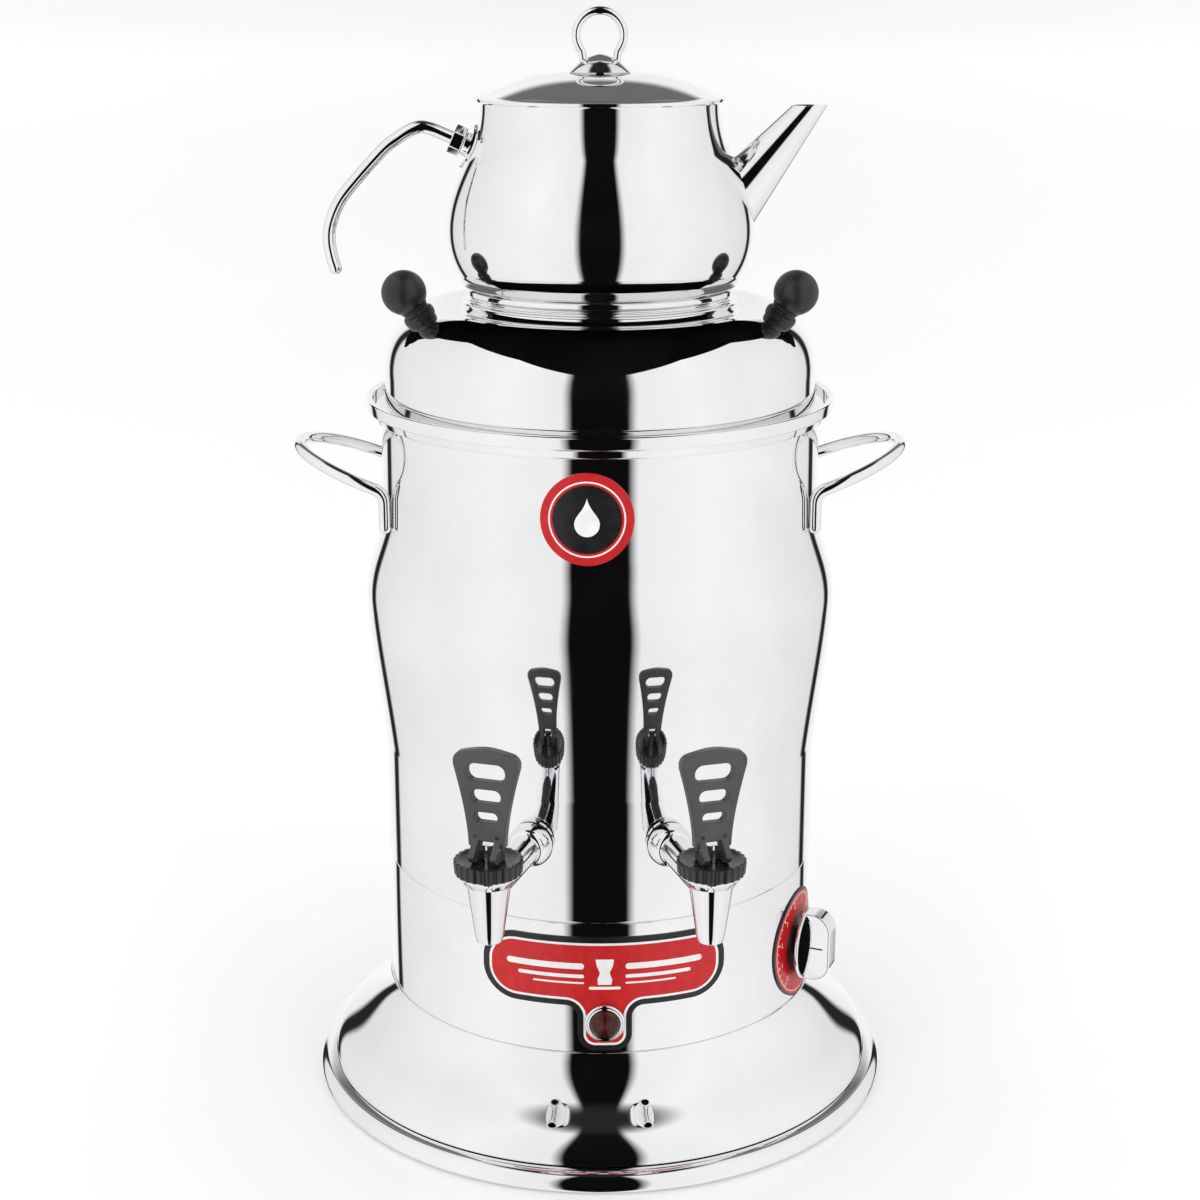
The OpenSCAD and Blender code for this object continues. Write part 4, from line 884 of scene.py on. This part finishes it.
def bonnets():
    """The two ribbed caps: a ring with a sloping recess round the stem."""
    cap_r, cap_h, ribs, steps_per_rib, rib_t = 17.1, bonnet_top - bowl_top, 26, 8, 0.35
    steps = ribs * steps_per_rib
    turns = [2 * pi * i / steps for i in range(steps)]
    outline = []
    for i, turn in enumerate(turns):
        radius = cap_r + rib_t * cos(2 * pi * i / steps_per_rib)
        outline.append((radius * cos(turn), radius * sin(turn)))
    levels = [(0.0, 0.93), (0.5, 0.965), (cap_h - 0.9, 1.0), (cap_h - 0.25, 0.985), (cap_h, 0.955)]
    inner_r, recess_z, stem_hole_r, seat_r = cap_r - 2.0, cap_h - 1.5, 3.4, 12.06
    recess = [(inner_r, cap_h), (inner_r - 0.5, cap_h - 0.3), (inner_r - 3.4, recess_z),
        (stem_hole_r, recess_z), (stem_hole_r, 3.6), (seat_r, 3.56), (seat_r, 0.0)]
    points = [(scale * x, scale * y, bowl_top + height) for height, scale in levels for x, y in outline]
    points += [(radius * cos(turn), radius * sin(turn), bowl_top + height)
        for radius, height in recess for turn in turns]
    faces = bridged(rings_of(points, steps))
    caps = [mesh_of(points, faces, turn_z(side * TAP_AZ) @ move(0, -valve_reach, 0)) for side in (-1, 1)]
    piece("ribbed_caps", joined(caps), "black_plastic", "tap_bonnets", BLACK)


def lever(side, name):
    """The tap's handle: a slotted blade on a forked foot that straddles the stem."""
    blade_h = high(name).z - pivot_z
    half_w, foot_half, thickness, fork_w, corner_r = 17.2, 9.5, 5.4, 14.4, 5.5
    corner_x = half_w - corner_r
    edge = cubic((foot_half, 2.5), (foot_half + 0.4, 0.3 * blade_h), (half_w - 3.8, 0.58 * blade_h),
        (half_w - 0.1, blade_h - 9), 20)
    edge += arc((corner_x, blade_h - 7.5), corner_r, 10, 66, 10)
    edge += cubic((corner_x + 2.2, blade_h - 2.35), (7.5, blade_h - 0.7), (3, blade_h), (0, blade_h), 12)
    fork_half, fork_top = 4.2, 5.4
    notch_half = foot_half - 5.3
    notch = [(-notch_half, 2.5), (-fork_half, fork_top), (fork_half, fork_top), (notch_half, 2.5)]
    slots = [stadium(1.16 * half_w, 9, blade_h - 12.2), stadium(0.88 * half_w, 7.2, blade_h - 24.6),
        stadium(0.67 * half_w, 5.2, blade_h - 35.4)]
    at = turn_z(side * TAP_AZ) @ move(0, -valve_reach, pivot_z)
    blade = plate([edge + mirrored(edge[-2::-1]) + notch] + slots, thickness,
        at @ outwards(0) @ move(0, 0, -thickness / 2), bevel=0.9, steps=4)
    cam_r, tilt, stem_lift = 5.2, 60, 4
    rate = stem_lift / radians(tilt)
    cam = []
    for a in range(0, tilt + 7, 3):
        turn = radians(a)
        reach = cam_r + rate * turn
        cam.append((-reach * sin(turn) - rate * cos(turn), -reach * cos(turn) + rate * sin(turn)))
    half_t = thickness / 2
    cheek_profile = [(4.6, -cam_r)] + cam + [(-half_t, 7), (-half_t, 9.5), (half_t, 9.5), (4.6, 3)]
    # The profile is drawn as distance from the front against height, and stands across the fork
    across = Matrix(((0, 0, 1, 0), (1, 0, 0, 0), (0, 1, 0, 0), (0, 0, 0, 1)))
    cheek_t = fork_w / 2 - fork_half
    cheeks = [plate([cheek_profile], cheek_t, at @ move(x, 0, 0) @ across, bevel=0.35)
        for x in (-fork_w / 2, fork_half)]
    even(piece(f"{name}_grip", joined([blade] + cheeks), "black_plastic", name, CHARCOAL))


# ---------------- plates, dial, badge and lamp

dial_z, dial_r = middle("dial_plate")
plate_t = 0.8
plate_h = 39.0
plate_mid = high("nameplate").z - plate_h / 2
tab_bottom = low("nameplate").z
lamp_z, lamp_r = middle("pilot_lamp")


def nameplate_outline(inset):
    """The nameplate's outline, moved inwards: a capsule with a tab below, drawn round its own middle."""
    half_w, half_h, tab = 64.6 - inset, plate_h / 2 - inset, 14.5 - inset
    end_r, tab_r, fillet_r = 17.5 - inset, 9.5 - inset, 6.5 + inset
    foot = tab_bottom - plate_mid + inset
    return rounded([
        (-half_w, -half_h, end_r), (-tab, -half_h, fillet_r), (-tab, foot, tab_r), (tab, foot, tab_r),
        (tab, -half_h, fillet_r), (half_w, -half_h, end_r), (half_w, half_h, end_r),
        (-half_w, half_h, end_r)], steps=14)


INK_T = 0.05  # thickness of one printed layer
BACKING_Z, BACKING_T = 0.08, plate_t - 0.1  # a print's sheet: how far off the wall it starts, and how thick
FACE_Z = plate_t - 0.02  # where ink starts, on the sheet's face


def printer(azimuth, mid_z, radius_of):
    """What makes one layer of the print that is bent round the urn at that place."""
    def layer(loops, material, foot=FACE_Z, thickness=INK_T):
        mesh = plate(loops, thickness, bend_every=2.0, foot=foot)
        return painted(finished(wrapped(mesh, azimuth, mid_z, radius_of)), material)

    return layer


def nameplate():
    """A red plate with a pale line inside its dark edge, and a generic tea glass between plain bars."""
    layer = printer(PLATE_AZ, plate_mid, drum_at)
    layers = [
        layer([nameplate_outline(0)], INK_AND_SHADE_BLACK, BACKING_Z, BACKING_T),
        layer([nameplate_outline(3.2)], INK_WHITE),
        layer([nameplate_outline(4.5)], INK_RED, FACE_Z + 0.4 * INK_T)]
    right = rounded([(0, -7.2), (3.6, -7.2, 0.6), (3.9, -4.2, 2.0), (2.5, -0.6, 2.6), (4.3, 3.6, 1.5),
        (4.9, 7.2, 0.4), (0, 7.2)], closed=False)
    glass = right + mirrored(right[-2:0:-1])
    saucer = stadium(17, 1.6, -9.2)
    figures = [glass, saucer]
    for side in (-1, 1):
        for height, start, end, width in ((3.1, 11, 52, 3.4), (-2.6, 11, 46, 2.0), (-6.4, 11, 38, 1.0)):
            bar = stadium(end - start, width, height)
            figures.append([Vector((q.x + side * (start + end) / 2, q.y)) for q in bar])
    layers += [layer([outline], INK_WHITE, plate_t + INK_T) for outline in figures]
    piece("name_panel", joined(layers), "printed_plate", "nameplate")


def figure(text, size):
    """A numeral as a flat mesh in millimetres, centred, with its outline's own triangles."""
    curve = bpy.data.curves.new("numeral", "FONT")
    curve.body = text
    curve.size = size
    curve.align_x = "CENTER"
    curve.align_y = "CENTER"
    curve.extrude = INK_T / 2
    curve.resolution_u = 4
    holder = placed("numeral", curve)
    bpy.context.view_layer.update()
    mesh = bpy.data.meshes.new_from_object(holder.evaluated_get(bpy.context.evaluated_depsgraph_get()))
    bpy.data.objects.remove(holder)
    bpy.data.curves.remove(curve)
    return mesh


def dial():
    """A round plate with plain numbers and marks, and a black centre round the knob that is painted shade."""
    layer = printer(DIAL_AZ, dial_z, drum_at)
    # Inside the red ring the black backing shows: a black centre painted as the knob's shade on the dial
    bush_r, painted_shade_r = 4.6, 17.0
    layers = [
        layer([circle(dial_r), circle(bush_r, 32)], INK_AND_SHADE_BLACK, BACKING_Z, BACKING_T),
        layer([circle(dial_r - 1.1), circle(painted_shade_r)], INK_RED),
        layer([circle(dial_r - 2.6), circle(dial_r - 3.0)], INK_WHITE, plate_t)]
    marks, first, sweep = 28, 225, 270
    for i in range(marks):
        turn = radians(first - sweep * i / (marks - 1))
        long = i % 3 == 0
        inner, outer = (dial_r - 5.4 if long else dial_r - 4.6), dial_r - 3.2
        half = 0.32 if long else 0.2
        out = Vector((cos(turn), sin(turn)))
        across = Vector((-out.y, out.x))
        bar = [inner * out - half * across, outer * out - half * across, outer * out + half * across,
            inner * out + half * across]
        layers.append(layer([bar], INK_WHITE, plate_t))
        if not long:
            continue
        numeral = figure(str(i // 3), 4.0)
        centre = Vector((*((dial_r - 7.6) * out), plate_t + INK_T / 2))
        for vert in numeral.vertices:
            vert.co = (vert.co + centre) * MM
        layers.append(painted(finished(wrapped(numeral, DIAL_AZ, dial_z, drum_at)), INK_WHITE))
    piece("dial_face", joined(layers), "printed_plate", "dial_plate")


def knob():
    """The dial's plated knob: a hub, a thin disc and a deep grip across it with round outer corners."""
    nut_r, depth, grip_t, corner_r = 7.7, 19.0, 12.6, 10.0
    back = drum_at(dial_z - nut_r) + plate_t + 0.7
    disc_r = middle("thermostat_knob")[1]
    disc_back, disc_front = back + 2.8, back + 5.0
    deep, hub_r = back + depth, nut_r + 1.9
    at = turn_z(DIAL_AZ)
    disc = turned(rounded([
        (0, back), (hub_r, back, 0.5), (hub_r, disc_back, 0.6), (disc_r - 0.3, disc_back, 0.6),
        (disc_r, disc_front - 0.5, 0.8), (disc_r - 1.4, disc_front, 0.6),
        (disc_r - 2.2, disc_front - 0.5, 0.4), (0, disc_front - 0.5)]), at @ outwards(dial_z), 128)
    # The grip's side view: distance out from the urn's axis against height along the grip
    half_l = disc_r - 0.6
    grip_side = rounded([(disc_front - 3, -half_l), (deep, -half_l, corner_r), (deep, half_l, corner_r),
        (disc_front - 3, half_l)], steps=16)
    across = Matrix(((0, 0, 1, 0), (-1, 0, 0, 0), (0, 1, 0, 0), (0, 0, 0, 1)))
    flat = at @ move(-grip_t / 2, 0, dial_z) @ across
    grip = plate([grip_side], grip_t, flat, bevel=1.0, steps=5)
    # A dark line on each flank, at its front: painted shade that stands in for a groove there
    groove_shade_t, groove_shade_l = 0.12, 7.5
    lines = [plate([stadium(groove_shade_l, 0.9, 0)], groove_shade_t,
        at @ move(flank - groove_shade_t / 2, 0, dial_z) @ across @ move(deep - groove_shade_l, 0, 0))
        for flank in (-grip_t / 2, grip_t / 2)]
    mesh = joined([painted(disc, CHROME), painted(grip, CHROME)] + [painted(q, INK_AND_SHADE_BLACK) for q in lines])
    even(piece("dial_knob", mesh, "chromed", "thermostat_knob"))


def lamp():
    """The pilot lamp: a plated bezel with turned ridges round a dark red lens."""
    seat = drum_at(lamp_z - lamp_r) + plate_t + RUNNING_FIT
    lens_r = lamp_r - 2.9
    at = turn_z(PLATE_AZ) @ outwards(lamp_z)
    shank_r = 6.5
    bezel = rounded([(0, seat - 10), (shank_r, seat - 10), (shank_r, seat), (lamp_r, seat, 0.4),
        (lamp_r, seat + 2, 0.9), (lamp_r - 1, seat + 3, 0.6), (lamp_r - 1.5, seat + 2.5, 0.2),
        (lamp_r - 2.1, seat + 3, 0.3), (lens_r, seat + 3, 0.2), (lens_r, seat + 1), (0, seat + 1)])
    piece("lamp_bezel", turned(bezel, at, 96), "chromed", "pilot_lamp")
    steps, crown_h, ridge_h, ridges = 60, 2.5, 0.09, 7
    lens = [(0, seat + 1.05), (lens_r - 0.02, seat + 1.05)]
    for k in range(steps + 1):
        share = k / steps
        rise = crown_h * sqrt(1 - (1 - share) ** 2) + ridge_h * cos(share * ridges * 2 * pi)
        lens.append((lens_r * (1 - share), seat + 3 + rise))
    piece("lamp_dome", turned(lens, at, 96), "lens", "pilot_lens")


def badge():
    """A round badge with a plain drop on a dark field."""
    mid_z, radius = middle("badge")
    layer = printer(BADGE_AZ, mid_z, neck_at)
    drop = arc((0, -2.4), 6.4, 145, 395, 40)
    drop += cubic(drop[-1], drop[-1] + Vector((-2.2, 3.4)), Vector((0.9, 6.6)), Vector((0, 11)), 10)[1:]
    drop += mirrored(drop[-2:-11:-1])
    layers = [
        layer([circle(radius)], INK_RED, BACKING_Z, BACKING_T),
        layer([circle(radius - 4.2), circle(radius - 5.0)], INK_WHITE),
        layer([circle(radius - 6.2)], INK_AND_SHADE_BLACK),
        layer([drop], INK_WHITE, FACE_Z + INK_T)]
    piece("round_badge", joined(layers), "printed_plate", "badge")


# ---------------- what the nodes themselves show

NODE_FINISHES = {
    SATIN: ["base_plate", "tank_floor"],
    RUBBER: ["rubber_feet", "tap_seals", "left_seat", "right_seat"],
    ZINC: ["base_screws", "knob_screws", "lid_screw", "thermostat_body", "bulb_clip", "thermostat_shaft"],
    SHEATH: ["heating_element"],
    SILICONE: ["element_seals"],
    BRASS: ["element_nuts", "thermostat_nut", "tap_locknuts"],
    IVORY: ["dry_boil_cutout", "terminal_block"],
    COPPER: ["thermostat_bulb"],
    BLACK: ["cable_gland", "gland_nut"],
    CHROME: ["left_stem", "right_stem", "left_pin", "right_pin", "left_spring", "right_spring"],
}


def finish_nodes():
    """Paints the nodes that no piece replaces."""
    for material, names in NODE_FINISHES.items():
        for name in names:
            painted(frame["nodes"][name].data, material)


# ---------------- stage

LOOK_DOWN = 15.95  # degrees
FLOOR_REACH = 80.0  # metres from the urn to the floor's edges
CARD_GAP = 7  # from the lid's top up to the card
LIGHT_AIM = Vector((0, 0, 0.3))
LIGHT_SIZE = 1.2


def photo_camera():
    """The camera of a studio picture, a little over a metre away and looking down."""
    data = bpy.data.cameras.new("camera")
    data.sensor_width = 36
    data.lens = 65.04
    data.clip_start = 0.05
    camera = placed("camera", data)
    camera.location = (0, -1.170, 0.612)
    camera.rotation_euler = (radians(90 - LOOK_DOWN), 0, 0)
    bpy.context.scene.camera = camera


def floor():
    """A wide pale sheet, which the urn's mirror walls don't see: they see the studio's world."""
    steps = 40
    row = steps + 1
    lines = [(2 * FLOOR_REACH * i / steps - FLOOR_REACH) * 1000 for i in range(row)]
    points = [(x, y, 0) for y in lines for x in lines]
    corners = [j * row + i for j in range(steps) for i in range(steps)]
    mesh = mesh_of(points, [(k, k + 1, k + row + 1, k + row) for k in corners])
    f = Finish("floor", Specular_IOR_Level=0.5)
    colour = f.tint(f.noise(0.02, 0.0), grey(0.975), grey(0.98))
    ground = placed("floor", painted(mesh, f.surface(colour, f.noise(0.02, 0.0), 0.14, 0.15)))
    ground.visible_glossy = False


# The plan of the card over the lid: compass angle from the front against its inner and outer radius
CARD_INSIDE = [(0, 84), (57, 84), (70, 102), (87, 121), (97, 150), (104, 200)]
CARD_OUTSIDE = [(0, 158), (9, 157), (26, 128), (45, 112), (66, 116), (79, 131), (92, 160), (104, 206)]


def card():
    """A card that only mirrors see: black from below, for the lid's dome, and clear from above."""
    def at(stops, angle):
        for (a, start), (b, end) in zip(stops, stops[1:]):
            if a <= angle <= b:
                return start + (end - start) * (angle - a) / (b - a)

    points = []
    last = CARD_INSIDE[-1][0]
    for angle in range(-last, last + 1, 2):
        out = Vector((sin(radians(angle)), -cos(radians(angle))))
        for stops in (CARD_INSIDE, CARD_OUTSIDE):
            points.append((*(at(stops, abs(angle)) * out), lid_top_z + CARD_GAP))
    mesh = mesh_of(points, [(k, k + 1, k + 3, k + 2) for k in range(0, len(points) - 2, 2)])
    for face in mesh.polygons:
        if face.normal.z > 0:
            face.flip()
    f = Finish("card", Specular_IOR_Level=0.0, Roughness=0.9)
    f.link("Base Color", f.tint(f.noise(4.0, 1.0), grey(0.004), grey(0.005)))
    back = f.add("ShaderNodeNewGeometry", {}, "Backfacing")
    f.link("Alpha", f.spread(back, 1.0, 0.0, 0.0, 1.0))
    sheet = placed("card", painted(mesh, f.material))
    sheet.visible_camera = sheet.visible_diffuse = sheet.visible_shadow = False


def soft_light(name, place, power):
    """An area light that lights the parts but isn't mirrored in them."""
    data = bpy.data.lights.new(name, "AREA")
    data.shape = "SQUARE"
    data.size = LIGHT_SIZE
    data.energy = power
    light = placed(name, data)
    light.location = place
    light.rotation_euler = (LIGHT_AIM - Vector(place)).to_track_quat("-Z", "Y").to_euler()
    light.visible_glossy = False


# The studio as the urn's mirror walls see it: brightness by compass angle from the front, as a share of half
# a turn
PANELS = [
    (0.0, 0.004), (0.080, 0.004), (0.094, 0.5), (0.108, 0.93), (0.30, 1.0), (0.55, 0.92), (0.70, 0.86),
    (0.775, 0.80), (0.79, 0.02), (0.82, 0.02), (0.835, 0.9), (0.90, 1.0), (1.0, 0.9)]
PANEL_TOP, PANEL_BLUR = 0.93, 0.03  # sine of the height at which the panels end, and half that edge's width
BACKDROP_TOP, BACKDROP_BLUR = 0.47, 0.08  # the same for the backdrop behind the urn, which ends lower
BACKDROP_SIDE = (0.78, 0.86)  # where round the urn the backdrop starts
DIM = 0.16  # brightness over the backdrop
CEILING = 0.02


def studio():
    """A world that is plain white, but for mirrors: they see the panels, the backdrop and a dark ceiling."""
    world = bpy.data.worlds.new("studio")
    bpy.context.scene.world = world
    world.use_nodes = True
    tree = world.node_tree
    tree.nodes.clear()

    def maths(operation, a, b=0.0):
        return wired(tree, "ShaderNodeMath", {0: a, 1: b}, "Value", operation=operation)

    def rising(value, start, end):
        """Goes smoothly from 0 to 1 as the value goes from start to end."""
        limits = {"Value": value, "From Min": start, "From Max": end}
        return wired(tree, "ShaderNodeMapRange", limits, "Result", interpolation_type="SMOOTHSTEP")

    def mix(share, a, b):
        return wired(tree, "ShaderNodeMix", {"Factor": share, "A": a, "B": b}, "Result", data_type="RGBA")

    direction = wired(tree, "ShaderNodeTexCoord", {}, "Generated")
    split = tree.nodes.new("ShaderNodeSeparateXYZ")
    tree.links.new(direction, split.inputs["Vector"])
    height = split.outputs["Z"]
    ahead = maths("MULTIPLY", split.outputs["Y"], -1.0)
    turn = maths("ABSOLUTE", maths("ARCTAN2", split.outputs["X"], ahead))
    round_urn = maths("DIVIDE", turn, pi)
    panels = colour_ramp(tree, round_urn, [(at, grey(level)) for at, level in PANELS])
    behind = rising(round_urn, *BACKDROP_SIDE)
    over = rising(height, BACKDROP_TOP - BACKDROP_BLUR, BACKDROP_TOP + BACKDROP_BLUR)
    walls = mix(maths("MULTIPLY", behind, over), panels, (*grey(DIM), 1))
    up = rising(maths("SUBTRACT", height, PANEL_TOP), -PANEL_BLUR, PANEL_BLUR)
    seen = mix(up, walls, (*grey(CEILING), 1))
    in_mirrors = wired(tree, "ShaderNodeLightPath", {}, "Is Glossy Ray")
    colour = mix(in_mirrors, (1, 1, 1, 1), seen)
    background = wired(tree, "ShaderNodeBackground", {"Color": colour}, "Background")
    tree.links.new(background, tree.nodes.new("ShaderNodeOutputWorld").inputs["Surface"])


def stage():
    photo_camera()
    floor()
    card()
    studio()
    bpy.context.scene.view_settings.view_transform = "Standard"
    soft_light("key", (-1.2, -1.6, 1.6), 8)
    soft_light("fill", (1.3, -1.4, 1.4), 6)


stage()
base()
tank()
side_handle(-1, "left_handle")
side_handle(1, "right_handle")
lid()
teapot()
pot_lid()
for tap_side, tap_name in ((-1, "left"), (1, "right")):
    tap(tap_side, f"{tap_name}_tap")
    lever(tap_side, f"{tap_name}_lever")
bonnets()
nameplate()
dial()
knob()
lamp()
badge()
finish_nodes()
